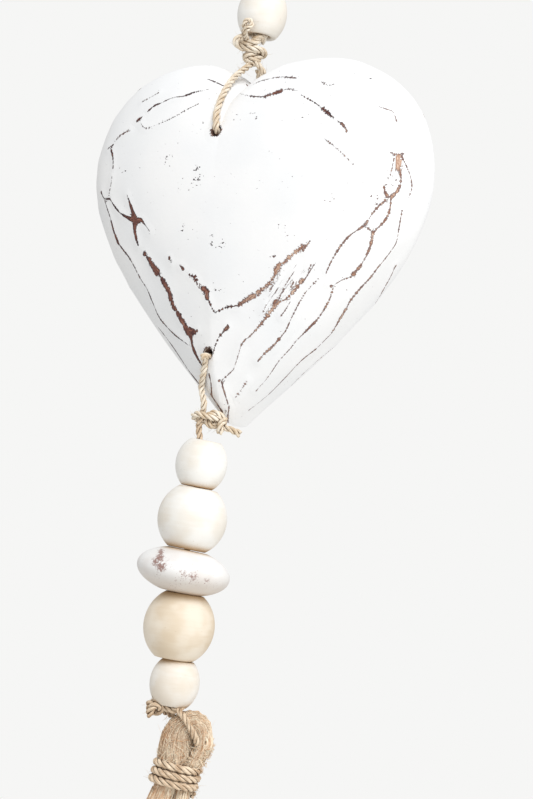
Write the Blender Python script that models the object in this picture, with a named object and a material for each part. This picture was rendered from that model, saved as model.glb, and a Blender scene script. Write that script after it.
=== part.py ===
"""Hanging heart decoration: a carved, whitewashed wooden heart on a rope loop,
with wooden beads, a pebble-shaped disc and a jute tassel below.

Lengths at the top are in millimetres, and every mesh is made in metres, +Z up.
The origin is where the hanging loop bears on its hook: the inside of the loop's top.
The heart faces -Y.
"""
import math
import random

import bmesh
import bpy
from mathutils import Matrix, Vector, geometry

MM = 0.001

# Rope: one laid jute rope runs through the whole piece
ROPE_D = 3.6
ROPE_GAP = 0.3
ROPE_SIDES_RESOLUTION = 2
SLING_SPACE = 1.5

# Hanging loop
LOOP_HEIGHT = 55.0
LOOP_WIDTH = 22.0

# Beads, from the top down: radius, height and radius of the flat round the bore
TOP_BEAD_R, TOP_BEAD_H, TOP_BEAD_FLAT = 10.7, 19.6, 6.3
BEAD_1_R, BEAD_1_H, BEAD_1_FLAT = 10.8, 19.6, 5.6
BEAD_2_R, BEAD_2_H, BEAD_2_FLAT = 14.5, 25.6, 7.0
DISC_R, DISC_H, DISC_FLAT = 19.7, 17.6, 7.5
BEAD_3_R, BEAD_3_H, BEAD_3_FLAT = 14.8, 27.2, 7.0
BEAD_4_R, BEAD_4_H, BEAD_4_FLAT = 10.4, 18.8, 5.6
BEAD_SHIFTS = {"bead_1": 1.2, "bead_2": 0.0, "disc": -1.2, "bead_3": -0.5, "bead_4": 0.3}
BEAD_SPACE = 0.3
BORE_CLEARANCE = 0.9
BEAD_SEGMENTS = 18
BEAD_RINGS = 6

# Heart
HEART_H = 155.7
HEART_LEFT_W = 76.7
HEART_RIGHT_W = 84.3
HEART_FRONT_DEPTH = 30.1
HEART_BACK_DEPTH = 28.6
HEART_FULLNESS = 0.694
HEART_TILT = -3.35
HEART_TIP_X = 10.5
HEART_SPACE = 22.3
CLEFT_SHARE = 0.907
RIGHT_WIDE_SHARE, LEFT_WIDE_SHARE = 0.669, 0.705
RIGHT_LOBE_SHARE, LEFT_LOBE_SHARE = 0.412, 0.364
RIGHT_FLANK, LEFT_FLANK = 0.428, 0.345
MIDDLE_SHARE = 0.58
TIP_THINNING = 0.053
LOBE_TOP_DIFFERENCE = 1.2

# Holes for the rope, front to back, on the heart's middle line
HOLE_D = 7.4
HOLE_X = -1.9
TOP_HOLE_DROP = 34.7
LOW_HOLE_RISE = 29.4

# Gouge cuts on the heart
CUT_DEPTH = 2.4
CUTS_ROUND = 10
COLUMNS = 80
FRONT_ROWS = 4
BACK_ROWS = 3
FIELD_ANGLE = 45.0
FIELD_NARROWING = 16.0
RIM_ANGLE = 83.0

# Bead chain, measured from the heart's tip
CHAIN_X = 4.0
CHAIN_Y = -16.0
CHAIN_DROP = 7.6
CORD_TOP_DROP = 7.0

# Tassel: its head hangs to one side of the beads, with the rope's eye near its edge
TASSEL_SPACE = 4.5
TASSEL_SHIFT = 7.0
TASSEL_HEAD_R = 10.2
TASSEL_HEAD_H = 17.5
TASSEL_NECK_R = 6.9
TASSEL_FRINGE_R = 12.0
TASSEL_L = 104.0
TASSEL_SIDES = 20
TASSEL_LEAN = 9.0
LEAN_START = 14.0
EYE_D = 5.4
EYE_DROP = 17.0
EYE_SHIFT = 5.2
BINDING_D = 3.0
BINDING_TURNS = 3
BINDING_PITCH = 3.35
BINDING_DROP = 22.9
BINDING_TILT = 11.0

# Right and forward for someone who stands this many degrees round from the heart's front
VIEW_TURN = 32.0
RIGHTWARD = Vector((math.cos(math.radians(VIEW_TURN)), math.sin(math.radians(VIEW_TURN)), 0))
FORWARD = Vector((math.sin(math.radians(VIEW_TURN)), -math.cos(math.radians(VIEW_TURN)), 0))

rope_r = ROPE_D / 2
tip_z = -LOOP_HEIGHT - TOP_BEAD_H / 2 - HEART_SPACE - HEART_H
top_hole_z = HEART_H - TOP_HOLE_DROP
low_hole_z = LOW_HOLE_RISE


def clear_scene():
    for old in list(bpy.data.objects):
        bpy.data.objects.remove(old, do_unlink=True)


def finish_material(name, colour, roughness):
    """A Principled BSDF; colour is linear."""
    material = bpy.data.materials.new(name)
    material.use_nodes = True
    shader = material.node_tree.nodes["Principled BSDF"]
    shader.inputs["Base Color"].default_value = (*colour, 1)
    shader.inputs["Roughness"].default_value = roughness
    shader.inputs["Metallic"].default_value = 0.0
    material.diffuse_color = (*colour, 1)
    return material


def object_from(name, points, faces, material):
    """An object from points in millimetres, with its faces turned outwards."""
    mesh = bpy.data.meshes.new(name)
    mesh.from_pydata([Vector(p) * MM for p in points], [], faces)
    shape = bmesh.new()
    shape.from_mesh(mesh)
    bmesh.ops.remove_doubles(shape, verts=shape.verts, dist=0.000002)
    bmesh.ops.recalc_face_normals(shape, faces=shape.faces)
    shape.to_mesh(mesh)
    shape.free()
    mesh.materials.append(material)
    made = bpy.data.objects.new(name, mesh)
    bpy.context.collection.objects.link(made)
    return made


# Smooth routes for the rope

def smooth_route(points, spacing):
    """Points a set distance apart on a smooth curve through the given ones."""
    route = [Vector(p) for p in points]
    route = [2 * route[0] - route[1]] + route + [2 * route[-1] - route[-2]]
    fine = []
    for a, b, c, d in zip(route, route[1:], route[2:], route[3:]):
        start, end = (c - a) / 6, (d - b) / 6
        fine += geometry.interpolate_bezier(b, b + start, c - end, c, 24)[:-1]
    fine.append(route[-2])
    length = sum((b - a).length for a, b in zip(fine, fine[1:]))
    steps = max(2, round(length / spacing))
    picked, walked, target = [fine[0]], 0.0, length / steps
    for a, b in zip(fine, fine[1:]):
        piece = (b - a).length
        while walked + piece >= target - 1e-6 and len(picked) < steps:
            picked.append(a.lerp(b, (target - walked) / piece))
            target += length / steps
        walked += piece
    picked.append(fine[-1])
    return picked


def rope_object(name, points, material, spacing=9.0, diameter=ROPE_D):
    """A rope's round outside, with closed ends, along a smooth route."""
    curve = bpy.data.curves.new(name, "CURVE")
    curve.dimensions = "3D"
    curve.bevel_depth = diameter / 2 * MM
    curve.bevel_resolution = ROPE_SIDES_RESOLUTION
    curve.use_fill_caps = True
    route = smooth_route(points, spacing)
    spline = curve.splines.new("POLY")
    spline.points.add(len(route) - 1)
    for knot, place in zip(spline.points, route):
        knot.co = (*(place * MM), 1)
    curve.materials.append(material)
    made = bpy.data.objects.new(name, curve)
    bpy.context.collection.objects.link(made)
    return made


def mesh_of(made):
    graph = bpy.context.evaluated_depsgraph_get()
    return bpy.data.meshes.new_from_object(made.evaluated_get(graph))


def knot_object(name, routes, material, voxel, keep):
    """Rope runs that lie on each other, drawn tight into one lump."""
    shape = bmesh.new()
    for number, route in enumerate(routes):
        run = rope_object(f"{name}_run_{number}", route, material, spacing=2.6)
        bpy.context.view_layer.update()
        mesh = mesh_of(run)
        shape.from_mesh(mesh)
        bpy.data.objects.remove(run)
        bpy.data.meshes.remove(mesh)
    mesh = bpy.data.meshes.new(name)
    shape.to_mesh(mesh)
    shape.free()
    mesh.materials.append(material)
    made = bpy.data.objects.new(name, mesh)
    bpy.context.collection.objects.link(made)
    fuse = made.modifiers.new("drawn_tight", "REMESH")
    fuse.mode = "VOXEL"
    fuse.voxel_size = voxel * MM
    fewer = made.modifiers.new("fewer_faces", "DECIMATE")
    fewer.ratio = keep
    return made


# Heart: a full, cushion-like body

def outline_half(width, top_z, wide_z, lobe_x, flank, count):
    """One half of the outline, from the cleft over the lobe and down to the tip."""
    cleft_z = CLEFT_SHARE * HEART_H
    inner_rise = cleft_z + (top_z - cleft_z) * 0.75
    shoulder_x = lobe_x + (width - lobe_x) * 0.6
    shoulder_z = wide_z + (top_z - wide_z) * 0.55
    curves = (
        ((0, cleft_z), (lobe_x * 0.25, inner_rise), (lobe_x * 0.55, top_z), (lobe_x, top_z)),
        ((lobe_x, top_z), (shoulder_x, top_z), (width, shoulder_z), (width, wide_z)),
        ((width, wide_z), (width, wide_z * (1 - flank)), (width * 0.3, wide_z * 0.22), (0.4, 0)),
    )
    fine = []
    for curve in curves:
        fine += geometry.interpolate_bezier(*(Vector(p) for p in curve), 60)[:-1]
    fine.append(Vector((0, 0)))
    lengths = [0.0]
    for a, b in zip(fine, fine[1:]):
        lengths.append(lengths[-1] + (b - a).length)
    even, at = [], 0
    for step in range(count + 1):
        target = lengths[-1] * step / count
        while at < len(fine) - 2 and lengths[at + 1] < target:
            at += 1
        span = lengths[at + 1] - lengths[at]
        even.append(fine[at].lerp(fine[at + 1], (target - lengths[at]) / span))
    return even


def heart_outline(columns):
    """The whole outline, clockwise from the cleft, evenly spaced on each half."""
    half = columns // 2
    right = outline_half(
        HEART_RIGHT_W, HEART_H - LOBE_TOP_DIFFERENCE, RIGHT_WIDE_SHARE * HEART_H,
        RIGHT_LOBE_SHARE * HEART_RIGHT_W, RIGHT_FLANK, half,
    )
    left = outline_half(
        HEART_LEFT_W, HEART_H + LOBE_TOP_DIFFERENCE, LEFT_WIDE_SHARE * HEART_H,
        LEFT_LOBE_SHARE * HEART_LEFT_W, LEFT_FLANK, half,
    )
    return right + [Vector((-p.x, p.y)) for p in reversed(left[1:-1])]


class HeartBody:
    """The heart's smooth body: places on it from a share of the way round and an angle.

    The angle is 0 at the middle of the front, 90 on the outline and 180 at the middle of the back.
    """

    def __init__(self, columns):
        self.outline = heart_outline(columns)
        self.columns = len(self.outline)
        self.middle = Vector((0, MIDDLE_SHARE * HEART_H))
        reach = [(p - self.middle).length for p in self.outline]
        window = self.columns // 12
        self.reach = reach
        self.inner_reach = [
            sum(reach[(i + k) % self.columns] for k in range(-window, window + 1)) / (2 * window + 1)
            for i in range(self.columns)
        ]

    def depth_at(self, angle, z):
        full = HEART_FRONT_DEPTH if angle < 90 else HEART_BACK_DEPTH
        thin = 1 - TIP_THINNING * max(0.0, 1 - z / (0.5 * HEART_H)) ** 1.3
        rise = abs(math.cos(math.radians(angle))) ** HEART_FULLNESS
        return -math.copysign(full * rise * thin, 90 - angle)

    def place(self, column, angle, sink=0.0):
        """A point of the surface, sunk below it by a cut's depth."""
        out = math.sin(math.radians(angle))
        reach = self.reach[column] * out**1.5 + self.inner_reach[column] * (1 - out**1.5)
        away = (self.outline[column] - self.middle).normalized()
        flat = self.middle + away * (out * reach)
        y = self.depth_at(angle, flat.y)
        down = Vector((away.x * out, -math.cos(math.radians(angle)), away.y * out))
        return Vector((flat.x, y, flat.y)) - down * sink

    def depth_over(self, x, z):
        """How far the front surface stands out at a place given from the front."""
        offset = Vector((x, z)) - self.middle
        column = min(
            range(self.columns),
            key=lambda i: -offset.dot((self.outline[i] - self.middle).normalized()),
        )
        low, high = 0.0, 90.0
        for _ in range(30):
            angle = (low + high) / 2
            point = self.place(column, angle)
            if (Vector((point.x, point.z)) - self.middle).length < offset.length:
                low = angle
            else:
                high = angle
        return -self.place(column, low).y


def row_angles(column_share):
    """The angle of each ridge line between two rows of cuts, from front to back.

    The smooth front field reaches further down towards the tip, so the rows are wider there.
    """
    towards_tip = 0.5 - 0.5 * math.cos(2 * math.pi * column_share)
    field = FIELD_ANGLE - FIELD_NARROWING * towards_tip**3
    rim = RIM_ANGLE
    front = [field + (rim - field) * row / FRONT_ROWS for row in range(FRONT_ROWS + 1)]
    back = [180 - rim + (rim - FIELD_ANGLE) * row / BACK_ROWS for row in range(BACK_ROWS + 1)]
    return front + back


def zigzag(phase):
    """A triangle wave from -1 to 1, with one wave for each cut."""
    phase %= 1.0
    return 4 * abs(phase - 0.5) - 1


def carved_heart(material):
    """Long gouge cuts lie in rows round the flank: ridges between them, and a hollow down each."""
    body = HeartBody(COLUMNS)
    chance = random.Random(7)
    line_count = FRONT_ROWS + BACK_ROWS + 2
    drift = [chance.uniform(-0.13, 0.13) for _ in range(line_count)]
    wander = [[chance.uniform(0.75, 1.15) for _ in range(CUTS_ROUND)] for _ in range(line_count)]
    rings = []
    for column in range(body.columns):
        share = column / body.columns
        angles = row_angles(share)
        moved = []
        for line, angle in enumerate(angles):
            before = angles[line - 1] if line else angle - 9
            after = angles[line + 1] if line + 1 < len(angles) else angle + 9
            room = min(angle - before, after - angle) * 0.36
            phase = share * CUTS_ROUND + 0.5 * (line % 2) + drift[line]
            reach = wander[line][int(phase) % CUTS_ROUND]
            moved.append((angle + room * reach * zigzag(phase), angle, room))
        ring = [body.place(column, angles[0] * share) for share in (0.25, 0.5, 0.78)]
        for (low, low_mid, room), (high, high_mid, _) in zip(moved, moved[1:]):
            openness = (high - low) / (high_mid - low_mid + 2 * room)
            ring.append(body.place(column, low))
            ring.append(body.place(column, (low + high) / 2, CUT_DEPTH * openness))
        last = moved[-1][0]
        ring += [body.place(column, 180 - (180 - last) * s) for s in (1, 0.8, 0.45)]
        ring.append(body.place(column, 172))
        rings.append(ring)
    points = [p for ring in rings for p in ring]
    deep = len(rings[0])
    faces = []
    for column in range(body.columns):
        after = (column + 1) % body.columns
        for line in range(deep - 1):
            a, b = column * deep + line, after * deep + line
            faces.append((a, b, b + 1, a + 1))
    front_middle, back_middle = len(points), len(points) + 1
    points.append(body.place(0, 0))
    points.append(body.place(0, 180))
    for column in range(body.columns):
        after = (column + 1) % body.columns
        faces.append((after * deep, column * deep, front_middle))
        faces.append((column * deep + deep - 1, after * deep + deep - 1, back_middle))
    heart = object_from("heart", points, faces, material)
    heart.location = Vector((HEART_TIP_X, 0, tip_z)) * MM
    heart.rotation_euler = (0, math.radians(HEART_TILT), 0)
    for z in (top_hole_z, low_hole_z):
        drill(heart, (HOLE_X, 0, z), HOLE_D, 2 * HEART_FRONT_DEPTH + 20)
    for polygon in heart.data.polygons:
        polygon.use_smooth = False
    return heart


def drill(target, place, diameter, length, turn=0.0):
    """A round hole along the target's own Y, turned about its Z."""
    shape = bmesh.new()
    bmesh.ops.create_cone(
        shape, cap_ends=True, segments=16,
        radius1=diameter / 2 * MM, radius2=diameter / 2 * MM, depth=length * MM,
        matrix=Matrix.Rotation(math.radians(turn), 4, "Z") @ Matrix.Rotation(math.pi / 2, 4, "X"),
    )
    mesh = bpy.data.meshes.new(f"{target.name}_hole")
    shape.to_mesh(mesh)
    shape.free()
    cutter = bpy.data.objects.new(f"{target.name}_hole", mesh)
    bpy.context.collection.objects.link(cutter)
    cutter.parent = target
    cutter.location = Vector(place) * MM
    cutter.hide_render = True
    cutter.display_type = "WIRE"
    cut = target.modifiers.new("hole", "BOOLEAN")
    cut.operation = "DIFFERENCE"
    cut.object = cutter


def from_heart(place):
    """A point of the heart's own frame, in the whole piece's frame."""
    turned = Matrix.Rotation(math.radians(HEART_TILT), 3, "Y") @ Vector(place)
    return turned + Vector((HEART_TIP_X, 0, tip_z))


# Turned beads

def bead(name, middle, radius, height, flat, bore, material):
    """A ball turned with a flat at each end of its bore."""
    half = height / 2
    length = half / math.sqrt(1 - (flat / radius) ** 2)
    widest = math.degrees(math.asin(half / length))
    profile = []
    for ring in range(BEAD_RINGS + 1):
        angle = math.radians(widest * (1 - 2 * ring / BEAD_RINGS))
        profile.append((radius * math.cos(angle), length * math.sin(angle)))
    profile += [(bore / 2, -half), (bore / 2, half)]
    points, faces, deep = [], [], len(profile)
    for segment in range(BEAD_SEGMENTS):
        turn = 2 * math.pi * segment / BEAD_SEGMENTS
        for r, z in profile:
            points.append((r * math.cos(turn), r * math.sin(turn), z))
        after = (segment + 1) % BEAD_SEGMENTS
        for ring in range(deep):
            lower = (ring + 1) % deep
            this, other = segment * deep, after * deep
            faces.append((this + ring, other + ring, other + lower, this + lower))
    made = object_from(name, points, faces, material)
    made.location = Vector(middle) * MM
    made.data.shade_smooth()
    made.data.set_sharp_from_angle(angle=math.radians(40))
    return made


def chain_place(r, f, z):
    """A place by its reach to the right and forward of the bead chain's middle."""
    return Vector((CHAIN_X, CHAIN_Y, z)) + RIGHTWARD * r + FORWARD * f


def bead_chain(wash, bare_wood):
    """The beads and the disc, threaded one under another, with the height under the last."""
    sizes = (
        ("bead_1", BEAD_1_R, BEAD_1_H, BEAD_1_FLAT, wash),
        ("bead_2", BEAD_2_R, BEAD_2_H, BEAD_2_FLAT, wash),
        ("disc", DISC_R, DISC_H, DISC_FLAT, wash),
        ("bead_3", BEAD_3_R, BEAD_3_H, BEAD_3_FLAT, bare_wood),
        ("bead_4", BEAD_4_R, BEAD_4_H, BEAD_4_FLAT, wash),
    )
    middles, top = [], tip_z - CHAIN_DROP
    for name, radius, height, flat, material in sizes:
        own = material.copy()
        own.name = f"{name}_finish"
        bore = ROPE_D + 2 * BORE_CLEARANCE
        middle = chain_place(BEAD_SHIFTS[name], 0, top - height / 2)
        bead(name, middle, radius, height, flat, bore, own)
        middles.append(middle)
        top -= height + BEAD_SPACE
    return middles, top


# Rope runs

def hanging_loop(material):
    """Two strands come up out of the top bead and open into a loop."""
    strand_x = rope_r + ROPE_GAP / 2
    bead_top = -LOOP_HEIGHT
    low = bead_top - TOP_BEAD_H - ROPE_GAP
    side = [
        (strand_x, 0, low),
        (strand_x, 0, bead_top - TOP_BEAD_H / 2),
        (strand_x, 0, bead_top),
        (strand_x + 1.2, 0, bead_top * 0.8),
        (LOOP_WIDTH * 0.36, 0, bead_top * 0.52),
        (LOOP_WIDTH / 2, 0, bead_top * 0.25),
        (LOOP_WIDTH * 0.38, 0, bead_top * 0.04),
    ]
    route = side + [(0, 0, rope_r)] + [(-x, y, z) for x, y, z in reversed(side)]
    return rope_object("hanging_loop", route, material, spacing=8.0)


def knot_place(r, f, z, axis):
    """A place by its reach to the right, forward and up from a knot's middle."""
    return Vector(axis) + RIGHTWARD * r + FORWARD * f + Vector((0, 0, z))


def upper_knot(material):
    """An overhand knot under the top bead, with one end curled up in front of the bead."""
    top = -LOOP_HEIGHT - TOP_BEAD_H - 0.9 - rope_r
    axis = (0, 0, top)
    wrap = (
        (1.5, -1, 0), (-4, -3, -1.2), (-8.4, 0, -1.6), (-7.2, 4.2, -4.2), (-3, 5.6, -5.0),
        (2, 5, -5.2), (4.4, 1, -4.6), (0, -3.6, -5.4), (-5, -1.5, -7.6), (-3.6, 3, -9.2),
        (1, 4.8, -8.2), (4, 1.8, -8.6), (3, 3, -11.2), (5.2, 3.4, -14.6),
    )
    core = ((0, 0, 0), (-1, 0.5, -5), (-1.6, 1, -9.8))
    curl = (
        (-3.5, 3, -2.2), (-4.4, 8.0, -0.6), (-4.8, 12.2, 2.6),
        (-5.2, 13.4, 6.4), (-3.6, 13.6, 8.6), (-1.6, 13.6, 7.2),
    )
    routes = [[knot_place(r, f, z, axis) for r, f, z in run] for run in (wrap, core, curl)]
    return knot_object("upper_knot", routes, material, voxel=0.8, keep=0.14)


def rest_on(body, x, z, side, lift):
    """A rope's middle lying on the heart's face; side is -1 in front and 1 behind."""
    step = 0.5
    share = 1.0 if side < 0 else HEART_BACK_DEPTH / HEART_FRONT_DEPTH
    depth = body.depth_over(x, z) * share
    rise = (body.depth_over(x, z + step) - body.depth_over(x, z - step)) * share / (2 * step)
    outward = Vector((0, side, -rise)).normalized()
    return from_heart(Vector((x, side * depth, z)) + outward * lift)


def through_hole(body, z, side_in):
    """The rope's middle turning over the hole's edge and running through the wood."""
    front = body.depth_over(HOLE_X, z)
    back = front * HEART_BACK_DEPTH / HEART_FRONT_DEPTH
    return [
        from_heart((HOLE_X, -front - 0.9, z + side_in * 0.6)),
        from_heart((HOLE_X, -front + 4, z)),
        from_heart((HOLE_X, 0, z)),
        from_heart((HOLE_X, back - 4, z)),
        from_heart((HOLE_X, back + 0.9, z + side_in * 0.6)),
    ]


def upper_sling(body, material):
    """From the upper knot over the cleft, through the hole and up behind."""
    lift = rope_r + SLING_SPACE
    start = -LOOP_HEIGHT - TOP_BEAD_H - rope_r - 14.4
    lay = [top_hole_z + rise for rise in (16.5, 12, 7.5, 3.6)]
    front = [Vector((-0.6, -4.6, start)), Vector((-0.8, -9.5, start - 3.2))]
    front += [rest_on(body, HOLE_X, z, -1, lift) for z in lay]
    back = [rest_on(body, HOLE_X, z, 1, lift) for z in reversed(lay)]
    back += [Vector((-0.6, 9.0, start - 3.2)), Vector((-0.4, 3.2, start))]
    route = front + through_hole(body, top_hole_z, 1) + back
    return rope_object("upper_sling", route, material, spacing=5.0)


def lower_sling(body, material):
    """From the lower knot up the front, through the hole and down round the tip."""
    lift = rope_r + SLING_SPACE
    low_lay = [low_hole_z - drop for drop in (15.4, 10.4, 4.6)]
    back_lay = [low_hole_z - drop for drop in (4.6, 10.4, 17.4)]
    front = [Vector((CHAIN_X + 0.2, CHAIN_Y - 1.6, tip_z + 6.6))]
    front += [rest_on(body, HOLE_X, z, -1, lift) for z in low_lay]
    back = [rest_on(body, HOLE_X, z, 1, lift) for z in back_lay]
    under = [
        (HEART_TIP_X - 2.6, 9.6, tip_z + 1.6),
        (HEART_TIP_X - 1.6, 3.4, tip_z - 3.0),
        (HEART_TIP_X - 0.6, -3.4, tip_z - 4.0),
        (HEART_TIP_X, -8.4, tip_z - 3.4),
    ]
    route = front + through_hole(body, low_hole_z, -1) + back + [Vector(p) for p in under]
    return rope_object("lower_sling", route, material, spacing=5.0)


def lower_knot(material):
    """The knot in front of the tip, with its short end out to the right."""
    axis = (CHAIN_X, CHAIN_Y - 2.0, tip_z + 0.4)
    turn = (
        (0.4, 0, 3.0), (0.2, -0.6, -2.4), (-0.4, 0, -4.4),
    )
    wrap = (
        (8.4, 1.6, -2.0), (4, 3.2, 0.4), (-1, 3.6, 1.4), (-4.2, 0.6, 1.0), (-1.6, -2.6, -0.6),
        (3.2, -1.6, -2.4), (5.4, 2.4, -3.4), (7.0, 4.6, -1.6), (8.2, 3.0, 1.6),
        (9.6, 0.8, -1.4), (9.0, 2.4, -5.0), (12.2, 3.0, -4.0), (15.4, 2.0, -5.4),
    )
    routes = [[knot_place(r, f, z, axis) for r, f, z in run] for run in (turn, wrap)]
    return knot_object("lower_knot", routes, material, voxel=0.8, keep=0.14)


def bead_cord(middles, bead_end, material):
    """From the lower knot down through the beads, then round through the tassel's fold."""
    top = tip_z - CORD_TOP_DROP
    eye_r = TASSEL_SHIFT + EYE_SHIFT
    below = (
        (0.3, 0, 0.8), (0.3, 0.4, -1.2), (0.4, 3.4, -3.6), (1.6, 7.6, -5.4), (5.0, 10.8, -8.8),
        (9.6, 11.4, -13.0),
        (eye_r - 0.2, 9.8, 0.8 - EYE_DROP), (eye_r, 6.0, -EYE_DROP), (eye_r, 0, -EYE_DROP),
        (eye_r, -6.0, -EYE_DROP), (eye_r - 0.6, -10.2, 1.4 - EYE_DROP), (8.0, -11.6, -11.0),
        (3.0, -9.0, -6.8), (-0.4, -5.4, -4.4), (-2.6, -3.2, -3.6),
    )
    route = [chain_place(0.6, 0, top)]
    route += middles
    route += [chain_place(r, f, bead_end + z) for r, f, z in below]
    return rope_object("bead_cord", route, material, spacing=5.0)


def tie_knot(bead_end, material):
    """The small knot that closes the rope at the tassel's left shoulder."""
    wrap = (
        (-5.8, -0.8, -3.0), (-8.0, 1.8, -1.3), (-9.6, 0.4, -0.9), (-8.6, -2.0, -2.1),
        (-6.8, -0.8, -4.1), (-7.6, 1.8, -3.9), (-9.0, 1.6, -4.5), (-9.8, 1.2, -6.9),
    )
    route = [chain_place(r, f, bead_end + z) for r, f, z in wrap]
    return knot_object("tie_knot", [route], material, voxel=0.8, keep=0.2)


# Tassel

def tassel_place(r, f, z, bead_end):
    """A place in the tassel, whose middle line leans a little to the left."""
    lean = -math.tan(math.radians(TASSEL_LEAN)) * max(0.0, -z - LEAN_START)
    return chain_place(TASSEL_SHIFT + r + lean, f, bead_end + z)


def tassel_radius(drop):
    """The bundle's radius at a depth below its top: a round fold, a bound neck and a loose fringe."""
    if drop < TASSEL_HEAD_H:
        share = drop / TASSEL_HEAD_H
        fold = TASSEL_HEAD_R * math.sqrt(max(0.0, 1 - (1 - min(1.0, share * 1.9)) ** 2))
        closing = max(0.0, (share - 0.62) / 0.38)
        return fold - (TASSEL_HEAD_R - TASSEL_NECK_R) * closing**1.5
    below = (drop - TASSEL_HEAD_H) / (TASSEL_L - TASSEL_HEAD_H)
    opening = max(0.0, below - 0.16) / 0.84
    return TASSEL_NECK_R + (TASSEL_FRINGE_R - TASSEL_NECK_R) * opening**0.5


def tassel(bead_end, material):
    """A hank of jute folded over the rope, bound under the fold and cut off below."""
    head = [TASSEL_HEAD_H * share for share in (0.03, 0.11, 0.25, 0.45, 0.68, 0.87, 1)]
    fringe = [TASSEL_L * share for share in (0.24, 0.3, 0.34, 0.4, 0.5, 0.65, 0.82, 1)]
    drops = head + fringe
    points, faces = [], []
    for drop in drops:
        radius = tassel_radius(drop)
        groove = min(0.7, radius * 0.06)
        for side in range(TASSEL_SIDES):
            turn = 2 * math.pi * side / TASSEL_SIDES
            r = radius + (groove if side % 2 else -groove)
            place = (r * math.cos(turn), r * 0.9 * math.sin(turn), -TASSEL_SPACE - drop)
            points.append(tassel_place(*place, bead_end))
    for ring in range(len(drops) - 1):
        for side in range(TASSEL_SIDES):
            after = (side + 1) % TASSEL_SIDES
            a, b = ring * TASSEL_SIDES, (ring + 1) * TASSEL_SIDES
            faces.append((a + side, a + after, b + after, b + side))
    faces.append(tuple(reversed(range(TASSEL_SIDES))))
    faces.append(tuple(range(len(points) - TASSEL_SIDES, len(points))))
    made = object_from("tassel", points, faces, material)
    eye = chain_place(TASSEL_SHIFT + EYE_SHIFT, 0, bead_end - EYE_DROP)
    drill(made, eye, EYE_D, 3 * TASSEL_HEAD_R, turn=VIEW_TURN)
    return made


def tassel_binding(bead_end, material):
    """Three turns of rope round the tassel's neck."""
    route = []
    steps = 12 * BINDING_TURNS
    round_r = TASSEL_NECK_R * 1.06 + BINDING_D / 2 + ROPE_GAP
    slope = math.tan(math.radians(BINDING_TILT))
    for step in range(steps + 1):
        turn = 2 * math.pi * step / 12
        drop = BINDING_DROP + BINDING_PITCH * step / 12
        r = round_r * math.cos(turn)
        route.append(tassel_place(r, round_r * math.sin(turn), -drop - slope * r, bead_end))
    return rope_object("tassel_binding", route, material, spacing=4.8, diameter=BINDING_D)


def build():
    clear_scene()
    white_paint = finish_material("chalk_white_paint_on_wood", (0.86, 0.85, 0.82), 0.7)
    wash = finish_material("whitewashed_wood", (0.84, 0.80, 0.72), 0.6)
    bare_wood = finish_material("pale_bare_wood", (0.74, 0.60, 0.41), 0.5)
    rope = finish_material("laid_jute_rope", (0.66, 0.50, 0.30), 0.9)
    jute = finish_material("combed_jute", (0.46, 0.30, 0.17), 0.95)

    body = HeartBody(COLUMNS)
    top_bore = 2 * ROPE_D + ROPE_GAP + 2 * BORE_CLEARANCE
    hanging_loop(rope)
    top_middle = (0, 0, -LOOP_HEIGHT - TOP_BEAD_H / 2)
    bead("top_bead", top_middle, TOP_BEAD_R, TOP_BEAD_H, TOP_BEAD_FLAT, top_bore, wash)
    upper_knot(rope)
    upper_sling(body, rope)
    carved_heart(white_paint)
    lower_sling(body, rope)
    lower_knot(rope)
    middles, bead_end = bead_chain(wash, bare_wood)
    bead_cord(middles, bead_end, rope)
    tie_knot(bead_end, rope)
    tassel(bead_end, jute)
    tassel_binding(bead_end, rope)


build()
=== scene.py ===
# Hanging heart decoration: finished surfaces, laid ropes, tassel, light and camera
import math
import random

import bmesh
import bpy
import numpy as np
from mathutils import Matrix, Vector, geometry, kdtree
from mathutils.bvhtree import BVHTree


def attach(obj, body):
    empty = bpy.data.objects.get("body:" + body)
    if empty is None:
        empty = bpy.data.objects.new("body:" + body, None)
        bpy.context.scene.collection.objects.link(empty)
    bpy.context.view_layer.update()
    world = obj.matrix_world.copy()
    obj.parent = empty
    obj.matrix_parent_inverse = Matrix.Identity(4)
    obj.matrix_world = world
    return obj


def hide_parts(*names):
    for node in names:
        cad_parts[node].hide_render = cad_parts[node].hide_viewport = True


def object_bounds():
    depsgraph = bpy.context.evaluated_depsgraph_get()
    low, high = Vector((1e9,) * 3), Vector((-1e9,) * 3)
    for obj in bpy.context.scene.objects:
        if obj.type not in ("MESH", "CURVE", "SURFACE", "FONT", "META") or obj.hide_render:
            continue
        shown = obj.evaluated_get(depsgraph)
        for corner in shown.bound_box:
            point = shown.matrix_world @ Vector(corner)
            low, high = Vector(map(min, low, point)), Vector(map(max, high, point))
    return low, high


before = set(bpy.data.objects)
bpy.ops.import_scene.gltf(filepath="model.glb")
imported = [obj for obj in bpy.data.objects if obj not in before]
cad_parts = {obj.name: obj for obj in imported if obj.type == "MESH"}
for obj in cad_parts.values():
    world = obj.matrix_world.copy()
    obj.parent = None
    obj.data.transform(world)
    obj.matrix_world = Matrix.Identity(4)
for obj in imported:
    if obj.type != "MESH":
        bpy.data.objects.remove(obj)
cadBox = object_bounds()
mm = 0.001


# Small helpers

def hexLinear(code):
    channels = [int(code[i:i + 2], 16) / 255 for i in (1, 3, 5)]
    return [c / 12.92 if c <= 0.04045 else ((c + 0.055) / 1.055) ** 2.4 for c in channels] + [1.0]


# settings that many nodes share
eased = {"interpolation_type": "SMOOTHSTEP"}
plus, minus, times, larger, timesPlus = (
    {"operation": word} for word in ("ADD", "SUBTRACT", "MULTIPLY", "MAXIMUM", "MULTIPLY_ADD"))
blend = {"data_type": "RGBA"}


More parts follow.
